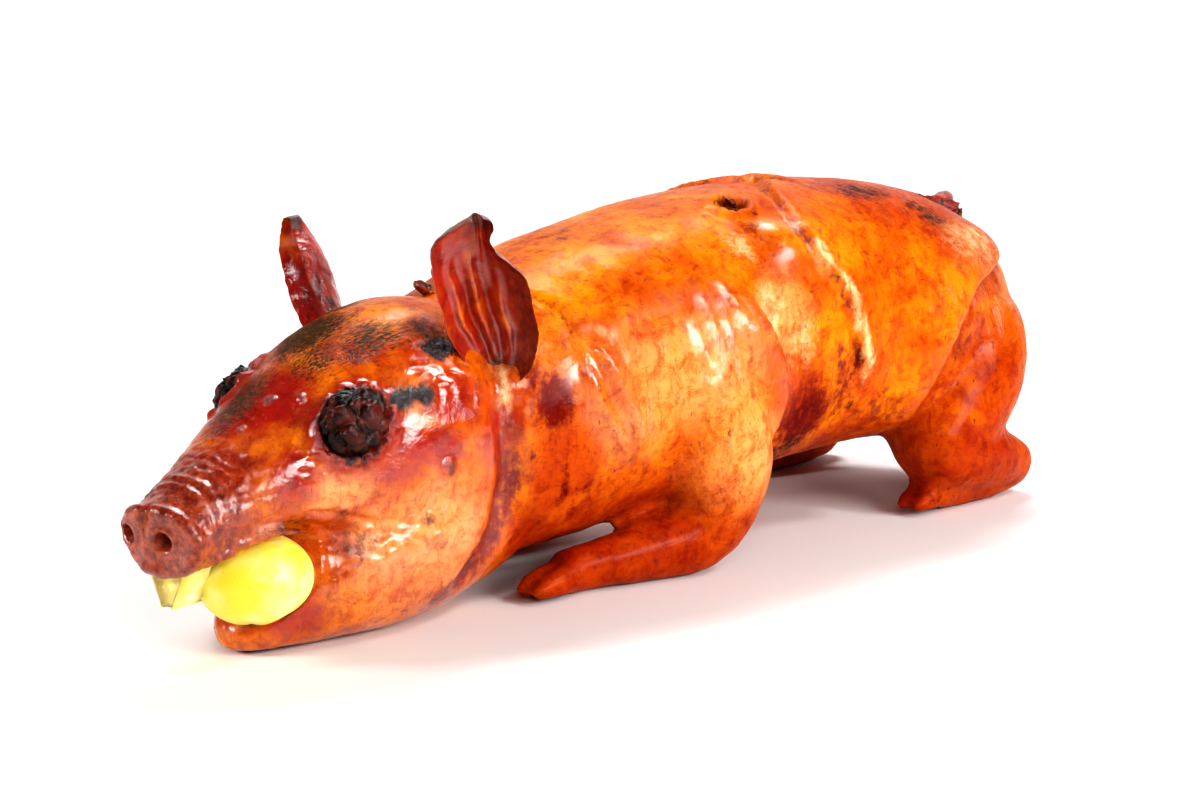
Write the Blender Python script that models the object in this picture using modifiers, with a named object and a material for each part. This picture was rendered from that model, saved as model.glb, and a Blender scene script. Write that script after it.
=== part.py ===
"""A roast suckling pig, lying on its belly on folded legs, with a chunk and a wedge of
yellow apple in its mouth and a prune in each eye socket.

The pig is one piece of meat, so it is one solid: lofted trunk, head, jaw, snout, legs and
tail are fused by a voxel remesh, the two ears are joined on, and the eye sockets, the
nostrils and the bite round the apple are cut out. Metres, +Z up, head towards -X, the
better-browned left side towards -Y, feet and jaw on Z = 0.
"""

import math

import bmesh
import bpy
import numpy as np
from mathutils import Matrix, Vector, noise

# Driving dimensions.
TRUNK_REAR = 0.3528
HEAD_PIVOT = Vector((-0.135, 0.0, 0.0))
HEAD_TURN = math.radians(6)
RING_SIDES = 28
VOXEL = 0.0038
SKIN_KEEP = 0.060
SOCKET_GAP = 0.0005

# Trunk sections: place along X, half width, underside, back.
TRUNK = (
    (-0.1665, 0.0594, 0.0324, 0.1548),
    (-0.126, 0.0747, 0.0216, 0.1719),
    (-0.081, 0.0837, 0.0216, 0.1854),
    (-0.027, 0.0918, 0.0252, 0.198),
    (0.036, 0.0963, 0.0324, 0.2079),
    (0.108, 0.0981, 0.0396, 0.2133),
    (0.180, 0.0981, 0.0414, 0.2133),
    (0.243, 0.0954, 0.0396, 0.207),
    (0.2898, 0.0882, 0.0378, 0.1935),
    (0.324, 0.072, 0.0468, 0.171),
    (0.3447, 0.0468, 0.0648, 0.144),
    (TRUNK_REAR, 0.018, 0.090, 0.117),
)

# Skull and snout sections: place ahead of the neck, half width, lip line, brow line.
SKULL = (
    (-0.036, 0.063, 0.027, 0.1602),
    (0.0135, 0.0684, 0.018, 0.1746),
    (0.0495, 0.0675, 0.0198, 0.1737),
    (0.0882, 0.0603, 0.0342, 0.1629),
    (0.1188, 0.0504, 0.054, 0.1467),
    (0.1485, 0.0405, 0.0666, 0.1269),
    (0.1755, 0.0315, 0.0612, 0.1107),
    (0.1962, 0.0261, 0.054, 0.0999),
    (0.2088, 0.0234, 0.0522, 0.0927),
)

# Jowl and lower jaw sections: place ahead of the neck, half width, underside, top.
JOWL = (
    (-0.0405, 0.0594, 0.0198, 0.126),
    (0.0135, 0.0657, 0.0036, 0.1215),
    (0.0585, 0.0657, -0.0027, 0.1062),
    (0.0945, 0.0558, -0.0027, 0.0882),
    (0.1242, 0.0423, -0.0009, 0.0666),
    (0.144, 0.0279, 0.000, 0.0378),
    (0.1566, 0.0189, 0.0009, 0.0225),
    (0.1647, 0.009, 0.0036, 0.0153),
)

DISC_CENTRE = (0.2124, 0.0, 0.0716)
DISC_HALF_WIDTH = 0.0248
DISC_HALF_HEIGHT = 0.0191
DISC_YAW = math.radians(10)
DISC_PITCH = math.radians(9)
NOSTRIL_NEAR = -0.0050
NOSTRIL_FAR = 0.0150
NOSTRIL_SIZE = (0.0067, 0.0047, 0.004)

EYE_NEAR = (0.1143, -0.0481, 0.1247)
EYE_FAR = (0.1071, 0.0385, 0.1260)
PRUNE_SIZE = (0.0212, 0.014, 0.0189)

CHUNK_CENTRE = (0.1557, -0.0117, 0.0428)
CHUNK_SIZE = (0.0319, 0.0315, 0.0243)
WEDGE_FRONT = 0.2056
WEDGE_BACK = 0.1885
WEDGE_TOP = 0.0576
WEDGE_FOOT = 0.036
WEDGE_TOP_HALF = 0.0144
WEDGE_FOOT_HALF = 0.0041


def clear_scene():
    for old in list(bpy.data.objects):
        bpy.data.objects.remove(old, do_unlink=True)


def collection(name):
    made = bpy.data.collections.new(name)
    bpy.context.scene.collection.children.link(made)
    return made


def material(name, colour, roughness):
    made = bpy.data.materials.new(name)
    made.use_nodes = True
    shader = made.node_tree.nodes["Principled BSDF"]
    shader.inputs["Base Color"].default_value = (*colour, 1.0)
    shader.inputs["Roughness"].default_value = roughness
    made.diffuse_color = (*colour, 1.0)
    return made


def new_object(name, bm, home):
    """Turns a bmesh into an object with its faces pointing outwards."""
    bmesh.ops.recalc_face_normals(bm, faces=bm.faces)
    mesh = bpy.data.meshes.new(name)
    bm.to_mesh(mesh)
    bm.free()
    made = bpy.data.objects.new(name, mesh)
    home.objects.link(made)
    return made


def smooth_rows(rows, steps):
    """Rows of sizes between the given ones, on a Catmull-Rom curve through every column."""
    table = np.array(rows)
    ends = np.vstack([2 * table[0] - table[1], table, 2 * table[-1] - table[-2]])
    found = []
    for i in range(len(table) - 1):
        before, here, after, beyond = ends[i : i + 4]
        for t in np.linspace(0, 1, steps, endpoint=False):
            found.append(
                0.5
                * (
                    2 * here
                    + (after - before) * t
                    + (2 * before - 5 * here + 4 * after - beyond) * t**2
                    + (3 * here - before - 3 * after + beyond) * t**3
                )
            )
    found.append(table[-1])
    return found


def loft(name, frames, home, squareness=2.2):
    """A closed skin through rings. A frame is the ring's centre, its two axes and its half sizes."""
    bm = bmesh.new()
    loops = []
    for centre, across, up, half_width, half_height in frames:
        ring = bmesh.ops.create_circle(bm, segments=RING_SIDES, radius=1.0)["verts"]
        loops.append({edge for vert in ring for edge in vert.link_edges})
        for vert in ring:
            angle = math.atan2(vert.co.y, vert.co.x)
            x = math.copysign(abs(math.cos(angle)) ** (2 / squareness), math.cos(angle))
            y = math.copysign(abs(math.sin(angle)) ** (2 / squareness), math.sin(angle))
            vert.co = centre + across * (x * half_width) + up * (y * half_height)
    for first, second in zip(loops, loops[1:]):
        bmesh.ops.bridge_loops(bm, edges=list(first | second))
    bmesh.ops.holes_fill(bm, edges=list(loops[0] | loops[-1]), sides=RING_SIDES)
    return new_object(name, bm, home)


def head_point(ahead, aside, height):
    """A point in the head, which is turned a little towards the left side."""
    turned = Matrix.Rotation(HEAD_TURN, 3, "Z") @ Vector((-ahead, aside, 0.0))
    return HEAD_PIVOT + turned + Vector((0.0, 0.0, height))


def head_axes():
    turn = Matrix.Rotation(HEAD_TURN, 3, "Z")
    return turn @ Vector((0, 1, 0)), Vector((0, 0, 1))


def section_frames(rows, place, across, up):
    frames = []
    for along, half_width, low, high in smooth_rows(rows, 4):
        centre = place(along, (low + high) / 2)
        frames.append((centre, across, up, half_width, (high - low) / 2))
    return frames


def trunk(home):
    frames = section_frames(
        TRUNK, lambda x, z: Vector((x, 0, z)), Vector((0, 1, 0)), Vector((0, 0, 1))
    )
    return loft("trunk", frames, home, 2.3)


def skull(home):
    across, up = head_axes()
    frames = section_frames(SKULL, lambda s, z: head_point(s, 0, z), across, up)
    return loft("skull", frames, home, 2.15)


def jowl(home):
    across, up = head_axes()
    frames = section_frames(JOWL, lambda s, z: head_point(s, 0, z), across, up)
    return loft("jowl", frames, home, 2.3)


def disc_matrix():
    """The snout disc's own axes: X across it, Y up it, Z out of it."""
    turn = Matrix.Rotation(HEAD_TURN + DISC_YAW, 4, "Z")
    stand = Matrix(((0, 0, -1, 0), (1, 0, 0, 0), (0, 1, 0, 0), (0, 0, 0, 1)))
    nod = Matrix.Rotation(DISC_PITCH, 4, "X")
    return Matrix.Translation(head_point(*DISC_CENTRE)) @ turn @ stand @ nod


def snout_disc(home):
    """A short plug that flares to a rolled rim round the flat end of the snout."""
    place = disc_matrix()
    across = (place.to_3x3() @ Vector((1, 0, 0))).normalized()
    up = (place.to_3x3() @ Vector((0, 1, 0))).normalized()
    profile = ((-0.018, 0.86), (-0.009, 0.94), (-0.0036, 1.02), (0.000, 1.0), (0.0027, 0.86))
    frames = []
    for out, scale in profile:
        centre = place @ Vector((0, 0, out))
        frames.append((centre, across, up, DISC_HALF_WIDTH * scale, DISC_HALF_HEIGHT * scale))
    return loft("snout_disc", frames, home, 2.2)


def limb(name, path, home):
    """A leg or tail: rings square to a path whose points give their place and radius."""
    rows = smooth_rows([(*point, radius) for point, radius in path], 4)
    places = [Vector(row[:3]) for row in rows]
    frames = []
    for i, row in enumerate(rows):
        run = places[min(i + 1, len(rows) - 1)] - places[max(i - 1, 0)]
        across = run.cross(Vector((0.0, 0.35, 1.0))).normalized()
        up = across.cross(run).normalized()
        frames.append((places[i], across, up, row[3], row[3]))
    return loft(name, frames, home, 2.0)


def front_leg(side, home):
    """Upper arm, elbow, forearm laid forward under the chest, and the ankle."""
    path = (
        ((0.009, side * 0.0594, 0.1215), 0.0378),
        ((0.0144, side * 0.0693, 0.0828), 0.0387),
        ((0.0216, side * 0.0747, 0.045), 0.0306),
        ((0.0054, side * 0.0729, 0.0234), 0.0234),
        ((-0.0324, side * 0.0657, 0.0171), 0.0175),
        ((-0.0666, side * 0.0576, 0.0135), 0.0135),
        ((-0.0846, side * 0.0549, 0.0117), 0.0131),
    )
    return limb("front_leg", path, home)


def hind_leg(side, home):
    """Ham, stifle, shank back to the hock, and the foot laid forward under it."""
    path = (
        ((0.2808, side * 0.045, 0.117), 0.0504),
        ((0.279, side * 0.054, 0.0882), 0.0513),
        ((0.252, side * 0.0693, 0.0576), 0.0405),
        ((0.2358, side * 0.081, 0.0396), 0.027),
        ((0.2754, side * 0.0846, 0.0306), 0.0207),
        ((0.3105, side * 0.081, 0.0198), 0.0162),
        ((0.2898, side * 0.0792, 0.0126), 0.014),
        ((0.2556, side * 0.0774, 0.0117), 0.0131),
        ((0.2358, side * 0.0765, 0.0108), 0.0126),
    )
    return limb("hind_leg", path, home)


def toes(place, outward, home):
    """Two hoofed toes side by side, pointing forward from an ankle, and two dewclaws."""
    made = []
    for spread, back, length, radius in (
        (-0.0065, 0.0, 0.0324, 0.007),
        (0.0065, 0.0, 0.0324, 0.007),
        (-0.009, 0.0144, 0.0144, 0.0038),
        (0.009, 0.0144, 0.0144, 0.0038),
    ):
        root = Vector(place) + Vector((back, spread, 0.0))
        lift = 0.0036 if back else 0.0
        path = (
            (tuple(root + Vector((0.0072, 0, lift))), radius * 1.05),
            (tuple(root + Vector((-length * 0.35, outward * 0.0009, lift))), radius * 1.1),
            (tuple(root + Vector((-length * 0.75, outward * 0.0018, lift - 0.0018))), radius * 0.85),
            (tuple(root + Vector((-length, outward * 0.0018, lift - 0.0036))), radius * 0.35),
        )
        made.append(limb("toe", path, home))
    return made


def tail(home):
    path = (
        ((0.315, 0.0, 0.1674), 0.0153),
        ((0.3348, 0.0, 0.1791), 0.0099),
        ((0.3456, 0.0036, 0.1845), 0.0067),
        ((0.3519, 0.009, 0.180), 0.0045),
    )
    return limb("tail", path, home)


def ear(name, root, tip, facing, half_width, cup, lean, home):
    """A cupped leaf of skin, thick at its root, hollow towards the way that it faces."""
    rise = tip - root
    along = rise.normalized()
    out = (facing - along * facing.dot(along)).normalized()
    across = out.cross(along).normalized()
    bm = bmesh.new()
    bmesh.ops.create_grid(bm, x_segments=8, y_segments=11, size=1.0)
    for vert in bm.verts:
        v = vert.co.x
        u = (vert.co.y + 1) / 2
        leaf = half_width * (math.sqrt(1 - u**3) * (0.6 + 1.9 * u - 2.0 * u**2) + 0.14 * u)
        bow = lean * math.sin(math.pi * u * 0.8)
        hollow = cup * (v**2 - 0.35) * (0.5 + math.sin(math.pi * min(u * 1.1, 1.0)))
        curl = 0.009 * u**3
        vert.co = root + rise * u + across * (leaf * v - bow) + out * (hollow + curl)
    shape = new_object(name, bm, home)
    wall = shape.modifiers.new("wall", "SOLIDIFY")
    wall.thickness = 0.0041
    wall.offset = 0.0
    return shape


def ears(home):
    turn = Matrix.Rotation(HEAD_TURN, 3, "Z")
    near = ear(
        "ear_near",
        head_point(0.0054, -0.0558, 0.1314),
        head_point(0.045, -0.0711, 0.2322),
        turn @ Vector((-0.66, -0.72, 0.05)),
        0.0248,
        0.0099,
        0.0036,
        home,
    )
    far = ear(
        "ear_far",
        head_point(0.027, 0.045, 0.144),
        head_point(0.0324, 0.0747, 0.216),
        turn @ Vector((-0.85, 0.42, 0.05)),
        0.018,
        0.0135,
        0.0,
        home,
    )
    return near, far


def joined(name, pieces, home):
    """One object holding the meshes of several, with each one's modifiers applied."""
    graph = bpy.context.evaluated_depsgraph_get()
    bm = bmesh.new()
    for piece in pieces:
        bm.from_mesh(bpy.data.meshes.new_from_object(piece.evaluated_get(graph)))
    for piece in pieces:
        bpy.data.objects.remove(piece, do_unlink=True)
    mesh = bpy.data.meshes.new(name)
    bm.to_mesh(mesh)
    bm.free()
    made = bpy.data.objects.new(name, mesh)
    home.objects.link(made)
    return made


def prune(name, centre, side, grow, home):
    """A dried plum: a flattened ball, drawn in along crooked furrows. Grown, it is its socket."""
    bm = bmesh.new()
    bmesh.ops.create_uvsphere(bm, u_segments=22, v_segments=12, radius=1.0)
    across, up = head_axes()
    ahead = up.cross(across)
    for vert in bm.verts:
        way = vert.co.copy()
        furrow = abs(noise.noise(way * 1.9 + Vector((side, 3.1, 0.7))))
        drawn_in = 0.0 if grow else 0.14 * (1 - min(furrow * 4.5, 1.0)) + 0.01
        size = [half * (1 - drawn_in) + grow for half in PRUNE_SIZE]
        vert.co = (
            head_point(*centre)
            + ahead * (way.x * size[0])
            + across * (way.y * size[1])
            + up * (way.z * size[2])
        )
    return new_object(name, bm, home)


def apple_chunk(name, grow, home):
    """A chunk of apple with its skin on, cut off square where it meets the tongue side."""
    bm = bmesh.new()
    bmesh.ops.create_uvsphere(bm, u_segments=24, v_segments=14, radius=1.0)
    across, up = head_axes()
    ahead = up.cross(across) * -1
    for vert in bm.verts:
        way = vert.co.copy()
        lobes = 1 + 0.02 * math.cos(5 * math.atan2(way.y, way.x))
        size = [half * lobes + grow for half in CHUNK_SIZE]
        vert.co = (
            head_point(*CHUNK_CENTRE)
            + ahead * (way.x * size[0])
            + across * (way.y * size[1])
            + up * (way.z * size[2])
        )
    cut = head_point(0, 0.0081 + grow, 0)
    every = bm.verts[:] + bm.edges[:] + bm.faces[:]
    bmesh.ops.bisect_plane(bm, geom=every, plane_co=cut, plane_no=across, clear_outer=True)
    rim = [edge for edge in bm.edges if edge.is_boundary]
    bmesh.ops.holes_fill(bm, edges=rim, sides=len(rim))
    return new_object(name, bm, home)


def apple_wedge(name, grow, home):
    """A peeled wedge that hangs, thin side down, from under the snout."""
    across, up = head_axes()
    bm = bmesh.new()
    bmesh.ops.create_cube(bm, size=2.0)
    for vert in bm.verts:
        ahead, aside, high = vert.co
        half = WEDGE_TOP_HALF if high > 0 else WEDGE_FOOT_HALF
        along = WEDGE_FRONT + grow if ahead > 0 else WEDGE_BACK - grow
        height = WEDGE_TOP + grow if high > 0 else WEDGE_FOOT - grow
        vert.co = head_point(along, aside * (half + grow * 1.5), height)
    return new_object(name, bm, home)


def nostril(aside, home):
    bm = bmesh.new()
    bmesh.ops.create_uvsphere(bm, u_segments=14, v_segments=8, radius=1.0)
    place = disc_matrix() @ Matrix.Translation((aside, 0.0005, 0.0023))
    size = Matrix.Diagonal((NOSTRIL_SIZE[1], NOSTRIL_SIZE[2], NOSTRIL_SIZE[0], 1.0))
    bmesh.ops.transform(bm, matrix=place @ size, verts=bm.verts)
    return new_object("nostril_cutter", bm, home)


def floor_cutter(home):
    bm = bmesh.new()
    bmesh.ops.create_cube(bm, size=1.2)
    bmesh.ops.translate(bm, vec=(0.0, 0.0, -0.6), verts=bm.verts)
    return new_object("floor_cutter", bm, home)


def remeshed(body):
    fuse = body.modifiers.new("fuse", "REMESH")
    fuse.mode = "VOXEL"
    fuse.voxel_size = VOXEL
    fuse.use_smooth_shade = True
    soften = body.modifiers.new("soften", "SMOOTH")
    soften.factor = 0.5
    soften.iterations = 7
    thin = body.modifiers.new("thin", "DECIMATE")
    thin.ratio = SKIN_KEEP
    return body


def boolean(body, other, operation):
    step = body.modifiers.new(other.name, "BOOLEAN")
    step.operation = operation
    step.solver = "EXACT"
    step.object = other
    other.hide_render = True
    other.display_type = "WIRE"


def build():
    clear_scene()
    home = collection("roast_suckling_pig")
    tools = collection("cutters")
    shapes = [trunk(tools), skull(tools), jowl(tools), snout_disc(tools), tail(tools)]
    for side in (-1, 1):
        shapes.append(front_leg(side, tools))
        shapes.append(hind_leg(side, tools))
        shapes += toes((-0.0846, side * 0.0549, 0.0095), side, tools)
        shapes += toes((0.2358, side * 0.0765, 0.0095), side, tools)
    pig = remeshed(joined("pig", shapes, home))
    for shape in ears(tools):
        boolean(pig, shape, "UNION")
    cutters = [
        prune("socket_near", EYE_NEAR, -1.0, SOCKET_GAP, tools),
        prune("socket_far", EYE_FAR, 1.0, SOCKET_GAP, tools),
        apple_chunk("bite_chunk", SOCKET_GAP, tools),
        apple_wedge("bite_wedge", SOCKET_GAP, tools),
        nostril(NOSTRIL_NEAR, tools),
        nostril(NOSTRIL_FAR, tools),
        floor_cutter(tools),
    ]
    for cutter in cutters:
        boolean(pig, cutter, "DIFFERENCE")
    skin = material("roast_skin", (0.62, 0.22, 0.05), 0.35)
    dried = material("prune_flesh", (0.035, 0.016, 0.010), 0.40)
    peel = material("apple_peel", (0.85, 0.70, 0.05), 0.45)
    flesh = material("apple_flesh", (0.90, 0.80, 0.45), 0.55)
    pieces = [
        (pig, skin),
        (prune("eye_prune_near", EYE_NEAR, -1.0, 0.0, home), dried),
        (prune("eye_prune_far", EYE_FAR, 1.0, 0.0, home), dried),
        (apple_chunk("apple_chunk", 0.0, home), peel),
        (apple_wedge("apple_wedge", 0.0, home), flesh),
    ]
    for piece, finish in pieces:
        piece.data.materials.append(finish)


build()
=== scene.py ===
import math

import bmesh
import bpy
import numpy as np
from mathutils import Matrix, Vector, noise
from mathutils.bvhtree import BVHTree


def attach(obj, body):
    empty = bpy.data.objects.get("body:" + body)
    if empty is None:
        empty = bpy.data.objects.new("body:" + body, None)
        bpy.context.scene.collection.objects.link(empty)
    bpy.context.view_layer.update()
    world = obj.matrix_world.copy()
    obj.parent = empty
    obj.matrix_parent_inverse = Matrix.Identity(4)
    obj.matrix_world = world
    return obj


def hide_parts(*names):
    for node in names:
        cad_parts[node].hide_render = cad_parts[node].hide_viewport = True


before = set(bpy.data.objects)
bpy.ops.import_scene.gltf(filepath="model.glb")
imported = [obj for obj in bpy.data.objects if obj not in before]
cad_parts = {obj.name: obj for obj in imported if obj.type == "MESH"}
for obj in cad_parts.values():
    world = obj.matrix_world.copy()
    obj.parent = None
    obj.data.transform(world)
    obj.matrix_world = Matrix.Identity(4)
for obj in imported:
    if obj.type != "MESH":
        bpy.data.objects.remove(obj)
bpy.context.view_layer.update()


# The carcass. One gutted suckling pig, lying on its belly with the forelegs laid forward
# and the hind legs folded under. It is drawn as closed skins over its main masses, which a
# voxel remesh fuses into one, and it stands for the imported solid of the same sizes.
HEAD_PIVOT = Vector((-0.135, 0.0, 0.0))
HEAD_TURN = Matrix.Rotation(math.radians(6), 3, "Z")
HEAD_ACROSS = HEAD_TURN @ Vector((0, 1, 0))
HEAD_AHEAD = HEAD_TURN @ Vector((-1, 0, 0))
UP = Vector((0, 0, 1))
RING_SIDES = 56
SKIN_VOXEL = 0.0032
FINE_FACES_BEFORE = -0.152
FINE_POINTS_BEFORE = -0.150

# Along X, half width, underside, back.
TRUNK = (
    (-0.1665, 0.0594, 0.0324, 0.1548),
    (-0.1260, 0.0747, 0.0216, 0.1719),
    (-0.0810, 0.0837, 0.0216, 0.1854),
    (-0.0270, 0.0918, 0.0252, 0.1980),
    (0.0360, 0.0963, 0.0324, 0.2079),
    (0.1080, 0.0981, 0.0396, 0.2133),
    (0.1800, 0.0981, 0.0414, 0.2133),
    (0.2430, 0.0954, 0.0396, 0.2070),
    (0.2898, 0.0882, 0.0378, 0.1935),
    (0.3240, 0.0720, 0.0468, 0.1710),
    (0.3447, 0.0468, 0.0648, 0.1440),
    (0.3528, 0.0180, 0.0900, 0.1170),
)

# Ahead of the neck, half width, lip line, brow line.
SKULL = (
    (-0.0360, 0.0630, 0.0270, 0.1602),
    (0.0135, 0.0684, 0.0180, 0.1746),
    (0.0495, 0.0675, 0.0198, 0.1737),
    (0.0882, 0.0603, 0.0342, 0.1629),
    (0.1188, 0.0504, 0.0540, 0.1467),
    (0.1485, 0.0405, 0.0666, 0.1269),
    (0.1755, 0.0315, 0.0612, 0.1107),
    (0.1962, 0.0261, 0.0540, 0.0999),
    (0.2088, 0.0234, 0.0522, 0.0927),
)

# Ahead of the neck, half width, underside, top.
JOWL = (
    (-0.0405, 0.0594, 0.0198, 0.1260),
    (0.0135, 0.0657, 0.0036, 0.1215),
    (0.0585, 0.0657, -0.0027, 0.1062),
    (0.0945, 0.0558, -0.0027, 0.0882),
    (0.1242, 0.0423, -0.0009, 0.0666),
    (0.1440, 0.0279, 0.0000, 0.0378),
    (0.1566, 0.0189, 0.0009, 0.0225),
    (0.1647, 0.0090, 0.0036, 0.0153),
)


def smooth_rows(rows, steps):
    """Rows between the given ones, on a Catmull-Rom curve through every column."""
    table = np.array(rows, float)
    ends = np.vstack([2 * table[0] - table[1], table, 2 * table[-1] - table[-2]])
    found = []
    for before, here, after, beyond in zip(ends, ends[1:], ends[2:], ends[3:]):
        for t in np.linspace(0, 1, steps, endpoint=False):
            bend = 2 * before - 5 * here + 4 * after - beyond
            twist = 3 * here - before - 3 * after + beyond
            found.append(here + 0.5 * ((after - before) * t + bend * t**2 + twist * t**3))
    found.append(table[-1])
    return found


def new_ring(bm, loops, sides):
    """The points of one more round ring, whose edges are added to the loops of a skin."""
    ring = bmesh.ops.create_circle(bm, segments=sides, radius=1.0)["verts"]
    loops.append({edge for vert in ring for edge in vert.link_edges})
    return ring


def close_skin(bm, loops, sides):
    for first, second in zip(loops, loops[1:]):
        bmesh.ops.bridge_loops(bm, edges=list(first | second))
    bmesh.ops.holes_fill(bm, edges=list(loops[0] | loops[-1]), sides=sides)


def add_loft(bm, frames, squareness=2.2):
    """A closed skin through rings, each given by its centre, two axes and two half sizes."""
    loops = []
    for centre, across, up, half_width, half_height in frames:
        for vert in new_ring(bm, loops, RING_SIDES):
            angle = math.atan2(vert.co.y, vert.co.x)
            x = math.copysign(abs(math.cos(angle)) ** (2 / squareness), math.cos(angle))
            y = math.copysign(abs(math.sin(angle)) ** (2 / squareness), math.sin(angle))
            vert.co = centre + across * (x * half_width) + up * (y * half_height)
    close_skin(bm, loops, RING_SIDES)


def head_point(ahead, aside, height):
    return HEAD_PIVOT + HEAD_AHEAD * ahead + HEAD_ACROSS * aside + UP * height


def add_sections(bm, rows, place, across, squareness):
    frames = []
    for along, half_width, low, high in smooth_rows(rows, 8):
        centre = place(along, (low + high) / 2)
        frames.append((centre, across, UP, half_width, (high - low) / 2))
    add_loft(bm, frames, squareness)


def add_limb(bm, path):
    """Rings square to a path whose points give their place and radius."""
    rows = smooth_rows([(*point, radius) for point, radius in path], 7)
    places = [Vector(row[:3]) for row in rows]
    frames = []
    for i, row in enumerate(rows):
        run = places[min(i + 1, len(rows) - 1)] - places[max(i - 1, 0)]
        across = run.cross(Vector((0.0, 0.35, 1.0))).normalized()
        frames.append((places[i], across, across.cross(run).normalized(), row[3], row[3]))
    add_loft(bm, frames, 2.0)


def add_toes(bm, ankle, outward):
    """Two hoofed toes side by side, and two dewclaws behind them."""
    for spread, back, length, radius in (
        (-0.0065, 0.0, 0.0324, 0.0070),
        (0.0065, 0.0, 0.0324, 0.0070),
        (-0.0090, 0.0144, 0.0144, 0.0038),
        (0.0090, 0.0144, 0.0144, 0.0038),
    ):
        root = Vector(ankle) + Vector((back, spread, 0.0036 if back else 0.0))
        ahead = Vector((-length, outward * 0.0018, -0.0036))
        path = (
            (root + Vector((0.0072, 0, 0)), radius * 1.05),
            (root + ahead * Vector((0.35, 0.5, 0.0)), radius * 1.1),
            (root + ahead * Vector((0.75, 1.0, 0.5)), radius * 0.85),
            (root + ahead, radius * 0.35),
        )
        add_limb(bm, path)


def add_legs(bm, side):
    foreleg = (
        ((0.0090, side * 0.0594, 0.1215), 0.0378),
        ((0.0144, side * 0.0693, 0.0828), 0.0387),
        ((0.0216, side * 0.0747, 0.0450), 0.0306),
        ((0.0054, side * 0.0729, 0.0234), 0.0234),
        ((-0.0324, side * 0.0657, 0.0171), 0.0175),
        ((-0.0666, side * 0.0576, 0.0135), 0.0135),
        ((-0.0846, side * 0.0549, 0.0117), 0.0131),
    )
    hind_leg = (
        ((0.2808, side * 0.0450, 0.1170), 0.0504),
        ((0.2790, side * 0.0540, 0.0882), 0.0513),
        ((0.2520, side * 0.0693, 0.0576), 0.0405),
        ((0.2358, side * 0.0810, 0.0396), 0.0270),
        ((0.2754, side * 0.0846, 0.0306), 0.0207),
        ((0.3105, side * 0.0810, 0.0198), 0.0162),
        ((0.2898, side * 0.0792, 0.0126), 0.0140),
        ((0.2556, side * 0.0774, 0.0117), 0.0131),
        ((0.2358, side * 0.0765, 0.0108), 0.0126),
    )
    add_limb(bm, foreleg)
    add_limb(bm, hind_leg)
    add_toes(bm, (-0.0846, side * 0.0549, 0.0095), side)
    add_toes(bm, (0.2358, side * 0.0765, 0.0095), side)


DISC_PLACE = (
    Matrix.Translation(head_point(0.2124, 0.0, 0.0716))
    @ Matrix.Rotation(math.radians(16), 4, "Z")
    @ Matrix(((0, 0, -1, 0), (1, 0, 0, 0), (0, 1, 0, 0), (0, 0, 0, 1)))
    @ Matrix.Rotation(math.radians(9), 4, "X")
)
DISC_HALF_WIDTH = 0.0280
DISC_HALF_HEIGHT = 0.0191


def add_snout_disc(bm):
    """The flat end of the snout, flared to a rolled rim."""
    across = (DISC_PLACE.to_3x3() @ Vector((1, 0, 0))).normalized()
    up = (DISC_PLACE.to_3x3() @ Vector((0, 1, 0))).normalized()
    frames = []
    for out, scale in ((-0.018, 0.86), (-0.009, 0.94), (-0.0036, 1.02), (0.0, 1.0), (0.0027, 0.86)):
        centre = DISC_PLACE @ Vector((0, 0, out))
        frames.append((centre, across, up, DISC_HALF_WIDTH * scale, DISC_HALF_HEIGHT * scale))
    add_loft(bm, frames, 2.2)


def add_lips(bm):
    """A thin roll of lip along each side of the mouth, from under the disc to its corner."""
    for side in (-1, 1):
        path = (
            (head_point(0.2060, side * 0.0150, 0.0570), 0.0024),
            (head_point(0.1930, side * 0.0220, 0.0600), 0.0028),
            (head_point(0.1740, side * 0.0280, 0.0665), 0.0030),
            (head_point(0.1580, side * 0.0345, 0.0705), 0.0030),
            (head_point(0.1420, side * 0.0395, 0.0700), 0.0030),
        )
        add_limb(bm, path)


def finished(name, bm):
    """An object from a bmesh, smooth, with its faces pointing outwards."""
    bmesh.ops.recalc_face_normals(bm, faces=bm.faces)
    for face in bm.faces:
        face.smooth = True
    mesh = bpy.data.meshes.new(name)
    bm.to_mesh(mesh)
    bm.free()
    made = bpy.data.objects.new(name, mesh)
    bpy.context.scene.collection.objects.link(made)
    return made


def applied(obj):
    """The same object with its modifiers worked into its mesh."""
    graph = bpy.context.evaluated_depsgraph_get()
    mesh = bpy.data.meshes.new_from_object(obj.evaluated_get(graph))
    obj.modifiers.clear()
    obj.data = mesh
    return obj


masses = bmesh.new()
add_sections(masses, TRUNK, lambda x, z: Vector((x, 0, z)), Vector((0, 1, 0)), 2.3)
add_sections(masses, SKULL, lambda s, z: head_point(s, 0, z), HEAD_ACROSS, 2.15)
add_sections(masses, JOWL, lambda s, z: head_point(s, 0, z), HEAD_ACROSS, 2.3)
add_snout_disc(masses)
add_lips(masses)
add_legs(masses, -1)
add_legs(masses, 1)
carcass = finished("carcass", masses)
fuse = carcass.modifiers.new("fuse", "REMESH")
fuse.mode = "VOXEL"
fuse.voxel_size = SKIN_VOXEL
soften = carcass.modifiers.new("soften", "SMOOTH")
soften.factor = 0.5
soften.iterations = 9
applied(carcass)


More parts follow.
